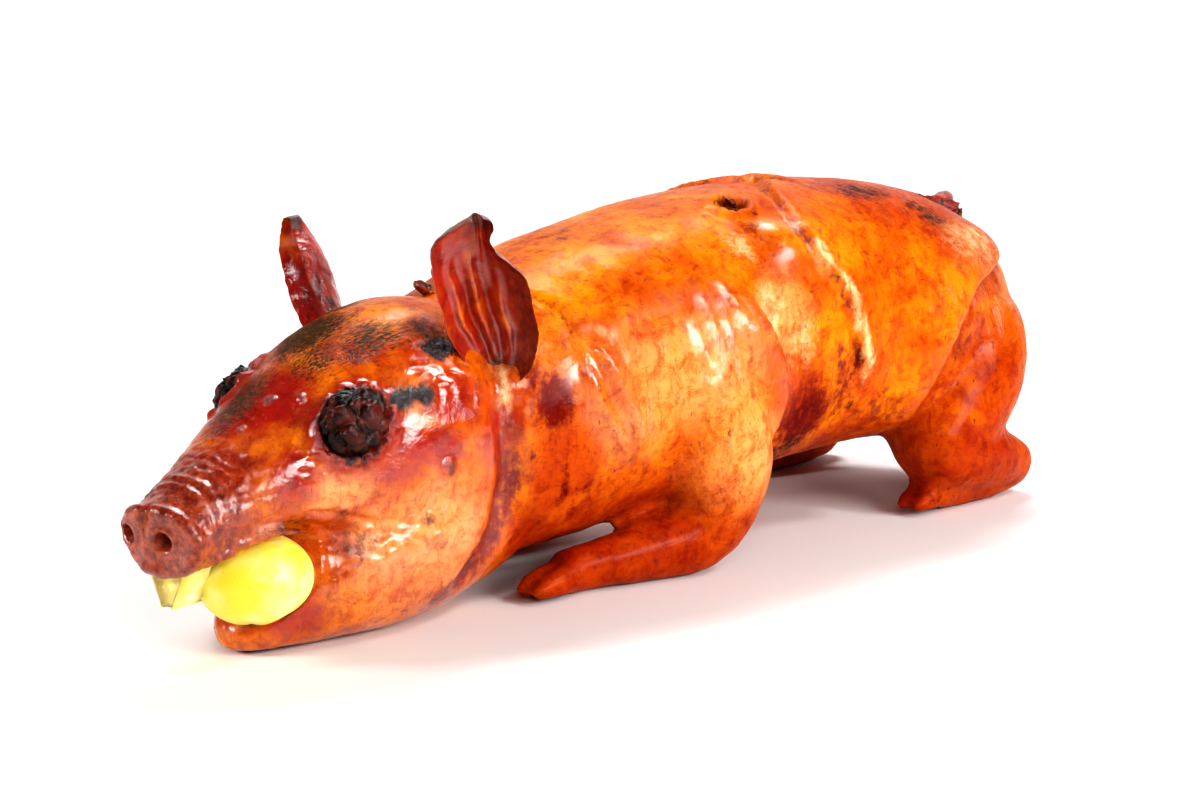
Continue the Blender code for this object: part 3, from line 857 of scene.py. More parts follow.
def paint_carcass(mesh):
    points = points_of(mesh)
    head = in_head(points)
    x, z = points[:, 0], points[:, 2]
    ahead, aside, high = head.T
    is_head = ramp(ahead, -0.005, 0.02)
    body = 1 - is_head
    rings = [eye_ring(head, centre) for centre in (EYE_NEAR, EYE_FAR)]

    pale = 0.66 * body * ramp(0.178 - z, 0.0, 0.04) * ramp(z, 0.065, 0.110)
    pale *= (1 - 0.9 * ramp(x, 0.02, 0.075)) * (0.45 + 0.55 * ramp(x, -0.09, -0.05))
    elbow = ((0.024, -0.085, 0.070), (0.05, 0.05, 0.05), 1.05)
    lens = ((0.066, -0.094, 0.150), (0.026, 0.03, 0.034), 0.8)
    cheek = ((0.078, -0.060, 0.050), (0.070, 0.045, 0.050), 1.0)
    # The muzzle patch, ahead of and below the eye, is pinker skin and in part a painted highlight.
    muzzle = ((0.126, -0.046, 0.094), (0.034, 0.030, 0.026), 1.0)
    pale = np.maximum(pale, on_both(points, elbow, lens))
    pale = np.maximum(pale, is_head * on_both(head, cheek, muzzle))
    paint(mesh, "pale", pale)

    gold = on_both(
        points,
        ((-0.076, -0.050, 0.176), (0.024, 0.026, 0.018), 1.0),
        ((-0.043, -0.043, 0.187), (0.034, 0.022, 0.016), 0.9),
        ((0.012, -0.036, 0.199), (0.026, 0.022, 0.014), 1.0),
        ((0.092, -0.068, 0.188), (0.017, 0.024, 0.018), 1.0),
    )
    gold = np.maximum(gold, most(head, (((0.060, -0.016, 0.167), (0.030, 0.018, 0.016), 1.3),)))
    paint(mesh, "gold", gold)

    red = on_both(
        head,
        ((0.135, -0.006, 0.132), (0.050, 0.040, 0.032), 0.95),
        ((0.176, -0.004, 0.095), (0.030, 0.040, 0.030), 1.0),
        ((0.108, -0.050, 0.124), (0.030, 0.030, 0.028), 0.85),
        ((0.060, -0.030, 0.150), (0.050, 0.030, 0.030), 0.60),
        ((0.090, -0.052, 0.098), (0.040, 0.030, 0.016), 0.70),
        ((0.076, -0.056, 0.108), (0.036, 0.026, 0.020), 0.85),
        ((0.020, -0.064, 0.108), (0.022, 0.024, 0.040), 0.70),
        ((0.140, -0.020, 0.022), (0.040, 0.040, 0.032), 0.75),
        ((0.120, -0.040, 0.050), (0.026, 0.020, 0.036), 0.50),
        ((0.090, -0.020, 0.160), (0.050, 0.050, 0.022), 0.55),
        ((0.052, -0.060, 0.128), (0.036, 0.030, 0.022), 0.75),
        ((0.150, -0.034, 0.100), (0.030, 0.030, 0.022), 0.80),
        ((0.062, -0.062, 0.104), (0.020, 0.030, 0.020), 0.80),
    )
    for ring in rings:
        red = np.maximum(red, 0.75 * (1 - ramp(ring, 1.25, 2.1)))
    red = np.maximum(red, 0.16 * body * ramp(x, 0.10, 0.16))
    red = np.maximum(red, 0.25 * body * ramp(0.085 - z, 0.0, 0.04))
    paint(mesh, "red", red)
    paint(mesh, "maroon", 0.92 * ramp(ahead, 0.140, 0.200) * ramp(high, 0.045, 0.055))

    drip_and_shade = np.zeros(len(points))
    # Dark lines just behind the flank's fold, the shoulder's edge and the rear lens ridge, and along the
    # nape's groove, are a painted shade in the lee of each fold. The wide line down the neck and the
    # scorches are drips and stains of the roast.
    for lines in FLANKS.values():
        for name, shift, width, share in (
            ("flank", (0.0050, 0, -0.0020), 0.0075, 1.0),
            ("shoulder", (0.0055, 0, 0.0), 0.0060, 0.65),
            ("nape", (0.0, 0, 0.0), 0.0022, 0.70),
            ("lens_rear", (0.0040, 0, 0.0), 0.0024, 0.35),
        ):
            drip_and_shade = np.maximum(drip_and_shade, share * near(points - np.array(shift), lines[name], width))
        wide = 0.0062 + 0.0045 * ramp(0.115 - z, 0.0, 0.05)
        gap, _, share = beside(points, lines["drip_and_shade"])
        drip_and_shade = np.maximum(drip_and_shade, bell(gap, wide) * ramp(share, -0.01, 0.12))
    scorches = on_both(
        points,
        ((-0.111, -0.073, 0.119), (0.019, 0.020, 0.024), 1.1),
        ((-0.124, -0.070, 0.134), (0.012, 0.020, 0.014), 0.8),
        ((-0.103, -0.075, 0.070), (0.006, 0.020, 0.024), 0.7),
        ((-0.085, -0.076, 0.062), (0.006, 0.020, 0.018), 0.6),
        ((0.088, -0.090, 0.080), (0.034, 0.034, 0.044), 0.85),
        ((0.122, -0.090, 0.105), (0.020, 0.030, 0.044), 0.70),
        ((0.160, -0.090, 0.075), (0.040, 0.034, 0.030), 0.50),
        ((0.102, -0.072, 0.192), (0.008, 0.016, 0.020), 0.7),
        ((0.070, -0.060, 0.196), (0.012, 0.014, 0.010), 0.6),
        ((0.238, -0.080, 0.110), (0.020, 0.03, 0.020), 0.7),
    )
    paint(mesh, "drip_and_shade", np.maximum(drip_and_shade, scorches))

    deep = 0.85 * body * ramp(0.090 - z, 0.0, 0.045)
    deep = np.maximum(deep, on_both(
        points,
        ((0.235, -0.030, 0.195), (0.110, 0.070, 0.040), 1.35),
        ((0.270, -0.085, 0.085), (0.060, 0.050, 0.064), 0.95),
        ((0.088, -0.090, 0.080), (0.036, 0.040, 0.060), 0.80),
        ((-0.105, -0.074, 0.080), (0.036, 0.040, 0.056), 0.95),
        ((-0.110, -0.074, 0.118), (0.026, 0.030, 0.026), 0.60),
        ((0.245, -0.080, 0.150), (0.018, 0.050, 0.070), 0.50),
    ))
    chin = on_both(head, ((0.060, -0.060, 0.030), (0.090, 0.060, 0.040), 1.0))
    deep = np.maximum(deep, 0.50 * is_head * chin)
    # A darker band in the lee of the flank's fold, below and behind its lip, is a painted shade.
    for lines in FLANKS.values():
        deep = np.maximum(deep, 0.85 * near(points - np.array((0.014, 0, -0.004)), lines["flank"], 0.015))
    deep *= 1 - 0.9 * on_both(points, ((0.024, -0.085, 0.070), (0.05, 0.05, 0.05), 1.1))
    paint(mesh, "deep", deep)

    olive = most(head, (
        ((0.040, 0.034, 0.168), (0.054, 0.030, 0.020), 1.0),
        ((0.088, 0.014, 0.162), (0.050, 0.034, 0.022), 1.0),
        ((0.074, -0.024, 0.160), (0.034, 0.022, 0.016), 0.72),
        ((0.108, -0.012, 0.154), (0.030, 0.022, 0.018), 0.62),
        ((0.140, 0.012, 0.132), (0.056, 0.020, 0.026), 0.80),
    ))
    paint(mesh, "olive", olive)

    fat_and_sheen = np.zeros(len(points))
    for lines in FLANKS.values():
        gap, _, share = beside(points + np.array((-0.0035, 0, 0)), lines["neck"])
        seam = bell(gap, 0.0034) * ramp(share, 0.15, 0.25)
        fat_and_sheen = np.maximum(fat_and_sheen, seam * (1 - ramp(share, 0.42, 0.55)))
        gap, _, share = beside(points + np.array((-0.0030, 0, 0)), lines["torn_skin"])
        reach = 0.0040 + 0.0032 * grain(points, 0.012, 32)
        strip = (1 - ramp(gap - reach, -0.0012, 0.0022)) * ramp(share, 0.30, 0.45)
        fat_and_sheen = np.maximum(fat_and_sheen, strip * (1 - ramp(share, 0.84, 0.95)))
    # Ivory patches over the rump and on the flank: in part fat, and in part a painted sheen where these
    # places catch the light.
    fat_and_sheen = np.maximum(fat_and_sheen, on_both(
        points,
        ((0.258, -0.078, 0.170), (0.036, 0.030, 0.038), 0.66),
        ((0.318, -0.050, 0.172), (0.036, 0.046, 0.036), 0.90),
        ((0.335, -0.050, 0.115), (0.022, 0.044, 0.050), 0.85),
        ((0.054, -0.068, 0.190), (0.014, 0.020, 0.014), 0.58),
        ((0.056, -0.092, 0.152), (0.014, 0.020, 0.030), 0.64),
        ((0.078, -0.094, 0.132), (0.020, 0.020, 0.024), 0.55),
    ))
    paint(mesh, "fat_and_sheen", fat_and_sheen)

    brown = on_both(
        points,
        ((0.200, -0.040, 0.206), (0.040, 0.022, 0.016), 0.72),
        ((0.238, -0.062, 0.190), (0.022, 0.024, 0.018), 0.70),
        ((-0.036, -0.006, 0.199), (0.016, 0.007, 0.006), 0.60),
        ((0.086, -0.070, 0.062), (0.030, 0.030, 0.020), 0.70),
        ((0.330, -0.010, 0.175), (0.030, 0.030, 0.020), 0.70),
    )
    brown = np.maximum(brown, most(head, (
        ((0.046, -0.034, 0.166), (0.014, 0.012, 0.010), 0.75),
        ((0.094, -0.030, 0.156), (0.016, 0.012, 0.010), 0.5),
        ((0.150, -0.038, 0.070), (0.026, 0.020, 0.010), 0.70),
        ((0.110, -0.046, 0.058), (0.018, 0.020, 0.012), 0.50),
    )))
    for lines in FLANKS.values():
        gap, _, share = beside(points + np.array((0.0042, 0, 0)), lines["torn_skin"])
        patchy = np.clip(0.5 + 1.6 * grain(points, 0.022, 31), 0, 1)
        brown = np.maximum(brown, 0.85 * patchy * bell(gap, 0.0036) * ramp(share, 0.0, 0.1))
    for spot_ahead, spot_aside, spot_high, size in CRUST_SPOTS:
        spot = np.linalg.norm(head - np.array((spot_ahead, spot_aside, spot_high)), axis=1) / size
        brown = np.maximum(brown, 0.62 * (1 - ramp(spot, 0.5, 1.25)))
    for ring in rings:
        brown = np.maximum(brown, 0.62 * bell(ring - 1.12, 0.16))
    paint(mesh, "brown", brown)

    char = most(head, (
        ((0.048, -0.047, 0.155), (0.017, 0.011, 0.012), 1.0),
        ((0.032, -0.050, 0.158), (0.010, 0.010, 0.012), 0.80),
        ((0.116, -0.052, 0.106), (0.020, 0.012, 0.006), 0.60),
    ))
    char = np.maximum(char, near(points, HEAD_LINES["eye_tail"], 0.0070, 0.2))
    char = np.maximum(char, most(points, (
        (BACK_HOLE, (0.015, 0.011, 0.013), 1.1),
        ((0.114, -0.090, 0.166), (0.005, 0.006, 0.006), 0.9),
    )))
    for ring in rings:
        char = np.maximum(char, 0.95 * (1 - ramp(ring, 0.98, 1.10)))
    paint(mesh, "char", char)

    gloss = 0.06 + 0.89 * is_head * (1 - 0.85 * ramp(high, 0.138, 0.164))
    for side, lines in FLANKS.items():
        for name in ("lens_rear", "lens_front", "shoulder", "flank", "neck"):
            gloss = np.maximum(gloss, near(points, lines[name], 0.012))
        for line in PLEATS[side]:
            gloss = np.maximum(gloss, near(points, line, 0.006))
    gloss = np.maximum(gloss, on_both(
        points,
        ((0.090, -0.070, 0.185), (0.030, 0.030, 0.030), 1.0),
        ((0.270, -0.080, 0.150), (0.060, 0.040, 0.060), 0.9),
    ))
    paint(mesh, "gloss", gloss)

    crinkle = 0.16 * ramp(ahead, 0.130, 0.175)
    crinkle += 0.20 * on_both(head, ((0.104, -0.055, 0.095), (0.040, 0.03, 0.030), 1.0))
    crinkle += 0.8 * (char + brown) + 0.6 * fat_and_sheen + 0.4 * olive
    paint(mesh, "crinkle", np.clip(crinkle, 0.04, 1.0))
    pleat = 0.12 * body + 0.6 * on_both(
        points,
        ((0.090, -0.095, 0.125), (0.045, 0.05, 0.060), 1.0),
        ((0.262, -0.085, 0.155), (0.050, 0.05, 0.050), 1.0),
        ((0.010, -0.090, 0.130), (0.030, 0.05, 0.040), 0.5),
    )
    paint(mesh, "pleat", pleat)


def dress(obj, node, slot, *materials):
    """Gives a piece its materials, the node it stands for and the body it rides on."""
    for material in materials:
        obj.data.materials.append(material)
    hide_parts(node)
    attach(obj, "root")


paint_carcass(carcass.data)
roast_skin = roast_skin_material()
dress(carcass, "pig", "roast_skin", roast_skin)


# The ears, the tail and the flakes of torn skin. An ear roasts to a stiff glassy leaf, hollow
# towards the front, its rim rolled and scorched. All of them grow from the carcass, so they
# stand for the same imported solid.
LEAF_SIDES = 110
LEAF_STEPS = 14
THINNEST = 0.0006


def add_leaf(bm, rise, facing, widths, cup, curl, ridges, rim, seed):
    """A closed leaf of skin from a root to a tip, its widths given up its height each way."""
    root, tip = rise
    along = (tip - root).normalized()
    out = (facing - along * facing.dot(along)).normalized()
    across = out.cross(along).normalized()
    lane_of = bm.verts.layers.float.get("lane") or bm.verts.layers.float.new("lane")
    edge_of = bm.verts.layers.float.get("edge") or bm.verts.layers.float.new("edge")
    rise_of = bm.verts.layers.float.get("rise") or bm.verts.layers.float.new("rise")
    loops = []
    for share, left, right in smooth_rows(widths, LEAF_STEPS):
        for vert in new_ring(bm, loops, LEAF_SIDES):
            angle = math.atan2(vert.co.y, vert.co.x)
            v = math.cos(angle)
            inner = math.sin(angle)
            wobble = noise.noise(Vector((share * 5, v * 0.4, seed))) * 0.10
            reach = max(left if v > 0 else right, THINNEST) * (1 + wobble)
            bank = noise.noise(Vector((v * 1.2, share * 3.0, seed + 4.0)))
            flow = 0.0
            for centre, width, height, low, top in ridges:
                lane = centre + 0.22 * (share - 0.4) + 0.12 * bank
                fade = max(0.0, math.sin(math.pi * min(max((share - low) / (top - low), 0), 1)))
                flow += height * fade * math.exp(-(((v - lane) / width) ** 2))
            folds = 0.0004 * math.sin(15 * v + 6 * bank + 5 * share) * (1 - v**2)
            narrow = math.sqrt(max(1 - share**8, 0.04))
            wall = (0.0011 + rim * abs(v) ** 5) * narrow
            depth = cup * (v**2 - 0.35) * (0.5 + math.sin(math.pi * min(share * 1.05, 1.0)))
            lift = depth + curl * share**3 + rim * 0.9 * abs(v) ** 9
            if inner > 0:
                lift += flow + folds + wall * inner**0.5
            else:
                lift -= wall * abs(inner) ** 0.5
            place = root + (tip - root) * share + across * (reach * v) + out * lift
            rough = 0.0005 * abs(v) ** 3 * noise.noise(place * 260)
            rough += 0.0005 * noise.noise(place * 160 + Vector((seed, 0, 0)))
            vert.co = place + out * (rough if inner > 0 else -rough) + across * (rough * v)
            vert[lane_of] = flow / 0.0050 + bank if inner > 0 else 0.3 * bank - 0.3
            vert[edge_of] = v
            vert[rise_of] = share
    close_skin(bm, loops, LEAF_SIDES)


def read(mesh, name):
    values = np.empty(len(mesh.vertices), np.float32)
    mesh.attributes[name].data.foreach_get("value", values)
    return values


def paint_leaf(mesh, amber):
    """Amber in the hollow, lighter on its ridges and darker red between them as a painted light and shade
    along the folds, maroon along one rim and black at the tip.
    """
    lane, edge, share = (read(mesh, name) for name in ("lane", "edge", "rise"))
    cloud = grain(points_of(mesh), 0.009, 21)
    rim = ramp(-edge, 0.45, 0.80)
    scorched_tip = 0.8 * ramp(share, 0.86, 1.0)
    paint(mesh, "gloss", 1.0)
    paint(mesh, "red", 0.86 - 0.40 * lane + 0.3 * cloud)
    paint(mesh, "gold", amber + 0.30 * lane * (1 - rim) + 0.4 * cloud)
    paint(mesh, "maroon", 0.50 - 1.4 * amber - 0.25 * lane + 0.40 * rim + 0.5 * scorched_tip)
    paint(mesh, "drip_and_shade", 0.45 - 1.3 * amber - 0.35 * lane - 0.4 * cloud)
    paint(mesh, "brown", 0.16 + 0.30 * rim + 0.5 * cloud + 0.5 * scorched_tip)
    paint(mesh, "char", 0.5 * scorched_tip + 0.35 * ramp(0.20 - share, 0.0, 0.10) - 0.2 * lane)
    paint(mesh, "crinkle", 0.07 + 0.22 * rim + 0.3 * scorched_tip)


def ear(name, amber, **shape):
    bm = bmesh.new()
    add_leaf(bm, **shape)
    made = finished(name, bm)
    paint_leaf(made.data, amber)
    dress(made, "pig", "roast_skin", roast_skin)


# Up the near ear, reach to the front, reach to the back.
EAR_NEAR_WIDTHS = (
    (0.00, 0.0125, 0.0050),
    (0.05, 0.0134, 0.0140),
    (0.11, 0.0148, 0.0190),
    (0.19, 0.0168, 0.0222),
    (0.30, 0.0208, 0.0250),
    (0.42, 0.0245, 0.0235),
    (0.59, 0.0268, 0.0222),
    (0.71, 0.0278, 0.0150),
    (0.79, 0.0275, 0.0085),
    (0.85, 0.0268, 0.0056),
    (0.90, 0.0250, 0.0064),
    (0.94, 0.0205, 0.0074),
    (0.98, 0.0110, 0.0066),
    (1.00, 0.0030, 0.0030),
)
# Up the far ear, reach away from the head, reach towards it.
EAR_FAR_WIDTHS = (
    (0.00, 0.0170, 0.0240),
    (0.20, 0.0160, 0.0240),
    (0.40, 0.0160, 0.0215),
    (0.55, 0.0150, 0.0190),
    (0.70, 0.0160, 0.0170),
    (0.80, 0.0165, 0.0125),
    (0.88, 0.0140, 0.0080),
    (0.94, 0.0085, 0.0072),
    (0.98, 0.0060, 0.0060),
    (1.00, 0.0020, 0.0020),
)
# Each ridge of an ear: its lane, its half width, its height, and where it starts and ends.
ear(
    "near_ear",
    amber=0.10,
    rise=(head_point(0.0054, -0.0558, 0.1314), head_point(0.045, -0.0711, 0.2322)),
    facing=HEAD_TURN @ Vector((-0.66, -0.72, 0.05)),
    widths=EAR_NEAR_WIDTHS,
    cup=0.0100,
    curl=0.0070,
    ridges=(
        (0.58, 0.09, 0.0048, 0.12, 0.76),
        (0.15, 0.10, 0.0044, 0.08, 0.86),
        (-0.35, 0.10, 0.0040, 0.06, 0.66),
        (0.36, 0.07, -0.0030, 0.05, 0.64),
        (-0.10, 0.07, -0.0026, 0.02, 0.60),
    ),
    rim=0.0040,
    seed=2.0,
)
ear(
    "far_ear",
    amber=0.46,
    rise=(head_point(0.027, 0.045, 0.144), head_point(0.0280, 0.0690, 0.217)),
    facing=HEAD_TURN @ Vector((-0.85, 0.42, 0.05)),
    widths=EAR_FAR_WIDTHS,
    cup=0.0120,
    curl=0.0060,
    ridges=((0.30, 0.12, 0.0020, 0.1, 0.6), (-0.40, 0.12, 0.0016, 0.1, 0.7)),
    rim=0.0026,
    seed=7.0,
)


def tail():
    bm = bmesh.new()
    add_limb(bm, (
        ((0.3150, 0.0000, 0.1674), 0.0153),
        ((0.3348, 0.0000, 0.1791), 0.0099),
        ((0.3456, 0.0036, 0.1845), 0.0067),
        ((0.3519, 0.0090, 0.1800), 0.0045),
    ))
    for vert in bm.verts:
        vert.co += vert.co.normalized() * (0.0012 * noise.noise(vert.co * 190))
    made = finished("tail", bm)
    for name, share in (("gloss", 1.0), ("red", 0.8), ("brown", 0.45), ("crinkle", 0.5)):
        paint(made.data, name, share)
    dress(made, "pig", "roast_skin", roast_skin)


# Root of each flake, the way it points, the way it faces, length, half width.
FLAKES = (
    ((0.086, -0.030, 0.2080), (-0.8, -0.3, 0.3), (0.0, -0.4, 0.9), 0.009, 0.0042),
    ((0.074, -0.042, 0.2020), (0.7, -0.3, 0.3), (0.0, -0.6, 0.8), 0.008, 0.0034),
    ((0.089, -0.044, 0.2010), (-0.4, -0.6, 0.2), (0.0, -0.6, 0.8), 0.010, 0.0030),
    ((0.112, -0.087, 0.1670), (0.5, -0.5, 0.3), (-0.5, -0.8, 0.2), 0.007, 0.0026),
    ((-0.116, 0.014, 0.1700), (-0.9, 0.0, 0.25), (0.0, -0.4, 0.9), 0.020, 0.0060),
    ((-0.104, 0.010, 0.1740), (-0.8, -0.2, 0.20), (0.0, -0.4, 0.9), 0.018, 0.0055),
    ((0.284, -0.020, 0.1785), (0.80, -0.10, 0.06), (0.1, -0.75, 0.65), 0.038, 0.0125),
    ((0.258, -0.024, 0.1890), (0.80, -0.10, 0.05), (-0.1, -0.7, 0.7), 0.026, 0.0085),
)


def torn_flakes():
    """Curled flakes of skin where it has split, on the back, the neck and over the tail."""
    bm = bmesh.new()
    for i, (root, way, facing, length, half) in enumerate(FLAKES):
        start = Vector(root)
        add_leaf(
            bm,
            rise=(start, start + Vector(way).normalized() * length),
            facing=Vector(facing),
            widths=(
                (0.0, half, half),
                (0.4, half * 1.1, half * 0.9),
                (0.8, half * 0.6, half * 0.8),
                (1.0, half * 0.15, half * 0.1),
            ),
            cup=half * 0.35,
            curl=length * 0.12,
            ridges=((0.35, 0.18, 0.22 * half, 0.0, 1.0), (-0.35, 0.20, 0.20 * half, 0.0, 1.0)),
            rim=half * 0.10,
            seed=11.0 + i,
        )
    made = finished("torn_skin", bm)
    streak = grain(points_of(made.data), 0.006, 30)
    paint(made.data, "gloss", 1.0)
    paint(made.data, "red", 0.8 + streak)
    paint(made.data, "brown", 0.55 + 0.5 * streak)
    paint(made.data, "char", 0.30 - 0.6 * streak)
    paint(made.data, "crinkle", 0.6)
    dress(made, "pig", "roast_skin", roast_skin)


tail()
torn_flakes()


# The prunes. Two dried plums pushed into the eye sockets: near black, drawn into crooked
# furrows between glossy facets, and held by the shrunken rim of skin.
def two_tone_group():
    """Two shades of one flesh, spread in soft patches."""
    group = bpy.data.node_groups.new("two_tone", "ShaderNodeTree")
    for name in ("Dark", "Light"):
        group.interface.new_socket(name, in_out="INPUT", socket_type="NodeSocketColor")
    for name in ("Start", "End", "Scale", "Detail", "Roughness", "Distortion"):
        group.interface.new_socket(name, in_out="INPUT", socket_type="NodeSocketFloat")
    group.interface.new_socket("Colour", in_out="OUTPUT", socket_type="NodeSocketColor")
    given = make(group, "NodeGroupInput").outputs
    tone = lumps(
        group,
        object_places(group),
        given["Scale"],
        given["Detail"],
        given["Roughness"],
        given["Distortion"],
    )
    share = spread(group, tone, given["Start"], given["End"])
    make(group, "NodeGroupOutput", {"Colour": blend(group, share, given["Dark"], given["Light"])})
    return group


TWO_TONE = two_tone_group()


def two_tone(tree, dark, light, start, end, scale, detail, roughness, distortion=0.0):
    values = {"Dark": dark, "Light": light, "Start": start, "End": end, "Scale": scale}
    values |= {"Detail": detail, "Roughness": roughness, "Distortion": distortion}
    return make(tree, "ShaderNodeGroup", values, node_tree=TWO_TONE).outputs["Colour"]


def prune_material():
    prune_skin, tree, surface = new_material(
        "prune",
        Roughness=0.30,
        Specular_IOR_Level=0.05,
        Coat_Weight=0.6,
        Coat_Roughness=0.10,
        Coat_IOR=1.5,
    )
    colour = two_tone(tree, tint(18, 5, 3), tint(96, 30, 14), 0.42, 0.70, 90.0, 3.0, 0.5, 0.8)
    creases = bumped(tree, lumps(tree, object_places(tree), 260.0, 5.0, 0.65, 1.0), 0.6, 0.0012)
    feed(tree, surface, Base_Color=colour, Normal=creases, Coat_Normal=creases)
    return prune_skin


def to_head(centre, sizes, way):
    """The place on an ellipsoid of the head that lies in a given direction from its middle."""
    return head_point(*[middle + turn * half for middle, turn, half in zip(centre, way, sizes)])


def prune(name, node, centre, seed, flesh):
    bm = bmesh.new()
    bmesh.ops.create_uvsphere(bm, u_segments=120, v_segments=72, radius=1.0)
    for vert in bm.verts:
        way = vert.co.copy()
        bends = [noise.noise(way * 1.7 + Vector((seed, shift, 0))) for shift in (0.0, 31.0, 62.0)]
        bent = way + 0.25 * Vector(bends)
        cells = noise.voronoi(bent * 1.05 + Vector((seed, 2.0, 0.5)))[0]
        facet = min((cells[1] - cells[0]) * 1.9, 1.0)
        small = 1 - abs(noise.noise(bent * 3.6)) * 3
        drawn_in = 0.22 * (1 - facet) ** 2 + 0.045 * small
        reach = 1.05 - drawn_in + 0.05 * noise.noise(way * 1.3 + Vector((0, seed, 0)))
        vert.co = to_head(centre, [half * reach for half in PRUNE_SIZE], way)
    dress(finished(name, bm), node, "prune_flesh", flesh)


prune_flesh = prune_material()
prune("near_prune", "eye_prune_near", EYE_NEAR, 3.0, prune_flesh)
prune("far_prune", "eye_prune_far", EYE_FAR, 8.0, prune_flesh)


# The apple. A chunk of a yellow apple with its peel on is held in the side of the mouth, and
# a small peeled wedge of the same apple hangs from the front, under the snout.
def peel_material():
    peel, tree, surface = new_material(
        "apple_peel", Roughness=0.42, Coat_Weight=0.5, Coat_Roughness=0.30
    )
    places = object_places(tree)
    # The paler patches of the peel are in part a painted sheen.
    colour = two_tone(tree, tint(253, 236, 66), tint(255, 250, 164), 0.35, 0.7, 40.0, 3.0, 0.5)
    dots = spread(tree, lumps(tree, places, 700.0, 2.0, 0.5), 0.68, 0.74, 0.0, 0.6)
    colour = blend(tree, dots, colour, tint(214, 176, 20))
    bumps = bumped(tree, lumps(tree, places, 480.0, 3.0, 0.5), 0.12, 0.0006)
    feed(tree, surface, Base_Color=colour, Normal=bumps)
    return peel


def flesh_material():
    flesh, tree, surface = new_material("apple_flesh", Roughness=0.40, Coat_Weight=0.3)
    colour = two_tone(tree, tint(252, 222, 120), tint(255, 238, 160), 0.35, 0.7, 90.0, 4.0, 0.6)
    bumps = bumped(tree, lumps(tree, object_places(tree), 900.0, 3.0, 0.6), 0.3, 0.0008)
    feed(tree, surface, Base_Color=colour, Normal=bumps)
    return flesh


CHUNK_CUT = 0.0081


def apple_chunk(peel, flesh):
    bm = bmesh.new()
    bmesh.ops.create_uvsphere(bm, u_segments=96, v_segments=64, radius=1.0)
    for vert in bm.verts:
        way = vert.co.copy()
        lobes = 1 + 0.02 * math.cos(5 * math.atan2(way.y, way.x))
        vert.co = to_head(CHUNK_CENTRE, [half * lobes for half in CHUNK_SIZE], way)
    cut = head_point(0, CHUNK_CUT, 0)
    every = bm.verts[:] + bm.edges[:] + bm.faces[:]
    bmesh.ops.bisect_plane(bm, geom=every, plane_co=cut, plane_no=HEAD_ACROSS, clear_outer=True)
    rim = [edge for edge in bm.edges if edge.is_boundary]
    for face in bmesh.ops.holes_fill(bm, edges=rim, sides=len(rim))["faces"]:
        face.material_index = 1
    dress(finished("apple_piece", bm), "apple_chunk", "apple_peel", peel, flesh)


WEDGE_FRONT = 0.2056
WEDGE_BACK = 0.1885
WEDGE_TOP = 0.0576
WEDGE_FOOT = 0.0360
WEDGE_TOP_HALF = 0.0144
WEDGE_FOOT_HALF = 0.0041


def apple_wedge(flesh):
    bm = bmesh.new()
    bmesh.ops.create_cube(bm, size=2.0)
    for vert in bm.verts:
        ahead, aside, high = vert.co
        half = WEDGE_TOP_HALF if high > 0 else WEDGE_FOOT_HALF
        along = WEDGE_FRONT if ahead > 0 else WEDGE_BACK
        vert.co = head_point(along, aside * half, WEDGE_TOP if high > 0 else WEDGE_FOOT)
    bmesh.ops.bevel(bm, geom=bm.edges[:], offset=0.0012, segments=3, affect="EDGES")
    dress(finished("apple_wedge_cut", bm), "apple_wedge", "apple_flesh", flesh)


apple_flesh = flesh_material()
apple_chunk(peel_material(), apple_flesh)
apple_wedge(apple_flesh)


# The studio. The pig lies on a pale floor that sweeps up behind it, lit by one large soft box
# ahead of its near side and smaller ones round it, and is looked at through a long lens.
VIEW_AIM = Vector((0.0036, 0.0, 0.0936))
VIEW_DISTANCE = 1.71
VIEW_AZIMUTH = math.radians(-46)
VIEW_HEIGHT = math.radians(11)


def set_camera():
    away = Vector((
        math.sin(VIEW_AZIMUTH) * math.cos(VIEW_HEIGHT),
        -math.cos(VIEW_AZIMUTH) * math.cos(VIEW_HEIGHT),
        math.sin(VIEW_HEIGHT),
    ))
    lens = bpy.data.cameras.new("camera")
    lens.lens = 85
    lens.sensor_width = 36
    lens.clip_start = 0.05
    camera = bpy.data.objects.new("camera", lens)
    camera.location = VIEW_AIM + away * VIEW_DISTANCE
    camera.rotation_euler = (-away).to_track_quat("-Z", "Y").to_euler()
    bpy.context.scene.collection.objects.link(camera)
    bpy.context.scene.camera = camera


def soft_lamp(name, place, aim, size, power):
    light = bpy.data.lights.new(name, "AREA")
    light.shape = "RECTANGLE"
    light.size, light.size_y = size
    light.energy = power
    lamp = bpy.data.objects.new(name, light)
    lamp.location = place
    lamp.rotation_euler = (Vector(aim) - Vector(place)).to_track_quat("-Z", "Y").to_euler()
    bpy.context.scene.collection.objects.link(lamp)


set_camera()
# Place, the place it faces, size, watts.
soft_lamp("key_box", (0.22, -1.52, 0.64), (-0.08, 0, 0.1), (1.10, 0.48), 22)
soft_lamp("right_box", (0.60, -0.95, 1.20), (-0.1, 0, 0.1), (0.26, 0.26), 6)
soft_lamp("front_box", (-1.10, -1.20, 0.85), (-0.1, 0, 0.1), (0.36, 0.36), 5)
soft_lamp("top_box", (0.70, 0.50, 1.35), (0, 0, 0.1), (0.60, 0.36), 7)
soft_lamp("wall_lamp", (1.0, 0.9, 2.2), (1.3, 1.3, 0.0), (1.2, 0.4), 30)
soft_lamp("snout_box", (-1.25, 0.60, 0.55), (-0.2, 0, 0.1), (0.24, 0.24), 10)


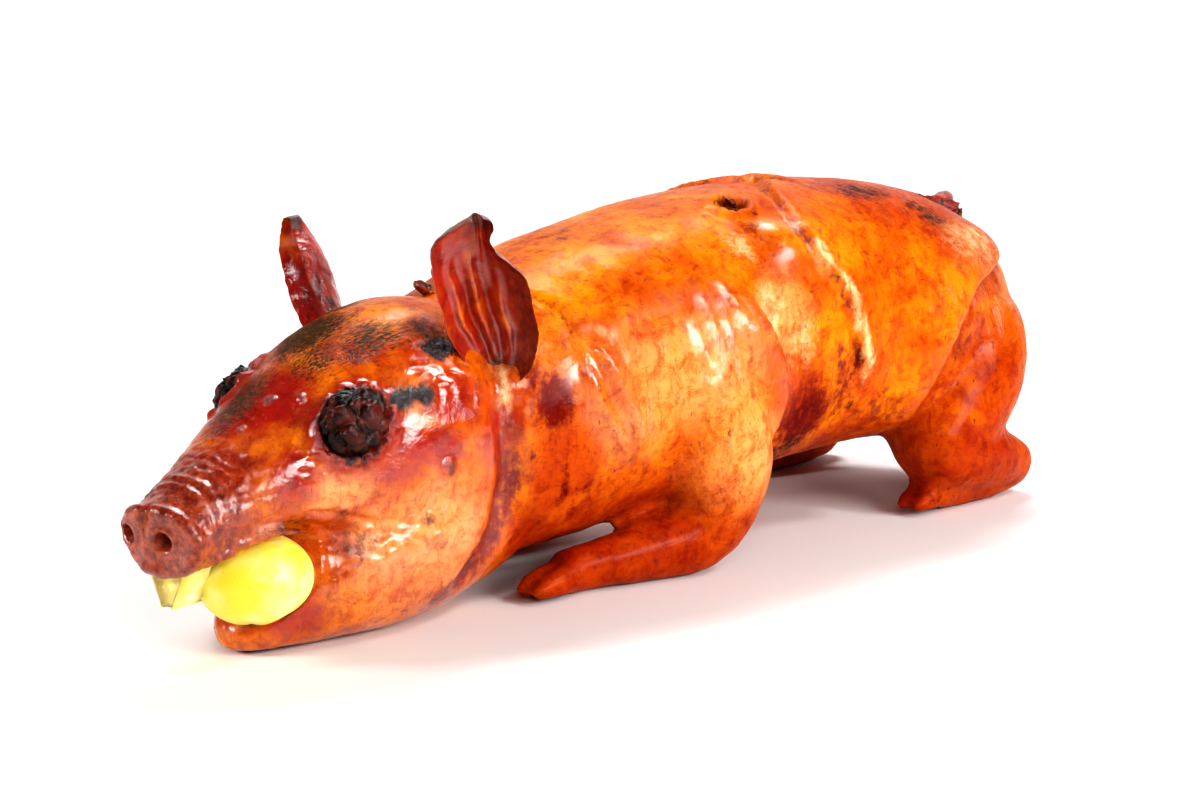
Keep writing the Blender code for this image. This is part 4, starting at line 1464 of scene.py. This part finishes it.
def studio_world():
    """A dim room with one white wall, on the far side of the pig from the camera."""
    room = bpy.data.worlds.new("studio")
    room.use_nodes = True
    tree = room.node_tree
    way = make(tree, "ShaderNodeTexCoord").outputs["Generated"]
    facing = make(
        tree,
        "ShaderNodeVectorMath",
        {0: way, 1: (-math.sin(VIEW_AZIMUTH), math.cos(VIEW_AZIMUTH), 0.0)},
        operation="DOT_PRODUCT",
    ).outputs["Value"]
    wall = spread(tree, facing, 0.62, 0.90)
    shade = blend(tree, wall, (0.12, 0.12, 0.125, 1.0), (1.0, 1.0, 1.0, 1.0))
    tree.links.new(shade, tree.nodes["Background"].inputs["Color"])
    tree.nodes["Background"].inputs["Strength"].default_value = 1.0
    return room


bpy.context.scene.world = studio_world()
bpy.context.scene.view_settings.view_transform = "Standard"
bpy.context.scene.view_settings.look = "High Contrast"
bpy.context.scene.view_settings.exposure = -0.24

FLOOR_FRONT = -5.0
FLOOR_BEND = 1.5
FLOOR_BEND_RADIUS = 0.5
FLOOR_HALF_WIDTH = 4.0
FLOOR_GAP = 0.0005
WALL_TOP = 0.6


def add_sweep():
    """A floor that curves up into a low wall behind the pig."""
    bm = bmesh.new()
    ahead = Vector((-math.sin(VIEW_AZIMUTH), math.cos(VIEW_AZIMUTH), 0))
    aside = UP.cross(ahead)
    curve = [(FLOOR_FRONT, 0.0), (FLOOR_BEND, 0.0)]
    for step in range(1, 13):
        turn = math.radians(7.5 * step)
        out = FLOOR_BEND + FLOOR_BEND_RADIUS * math.sin(turn)
        curve.append((out, FLOOR_BEND_RADIUS * (1 - math.cos(turn))))
    curve.append((FLOOR_BEND + FLOOR_BEND_RADIUS, WALL_TOP))
    rows = []
    for out, up in curve:
        middle = ahead * out + UP * (up - FLOOR_GAP)
        rows.append([bm.verts.new(middle + aside * FLOOR_HALF_WIDTH * side) for side in (-1, 1)])
    for first, second in zip(rows, rows[1:]):
        bm.faces.new((first[0], first[1], second[1], second[0]))
    return finished("floor", bm)


floor = add_sweep()
floor.data.materials.append(
    new_material("pale_floor", Base_Color=(0.86, 0.86, 0.855, 1), Roughness=0.7)[0]
)
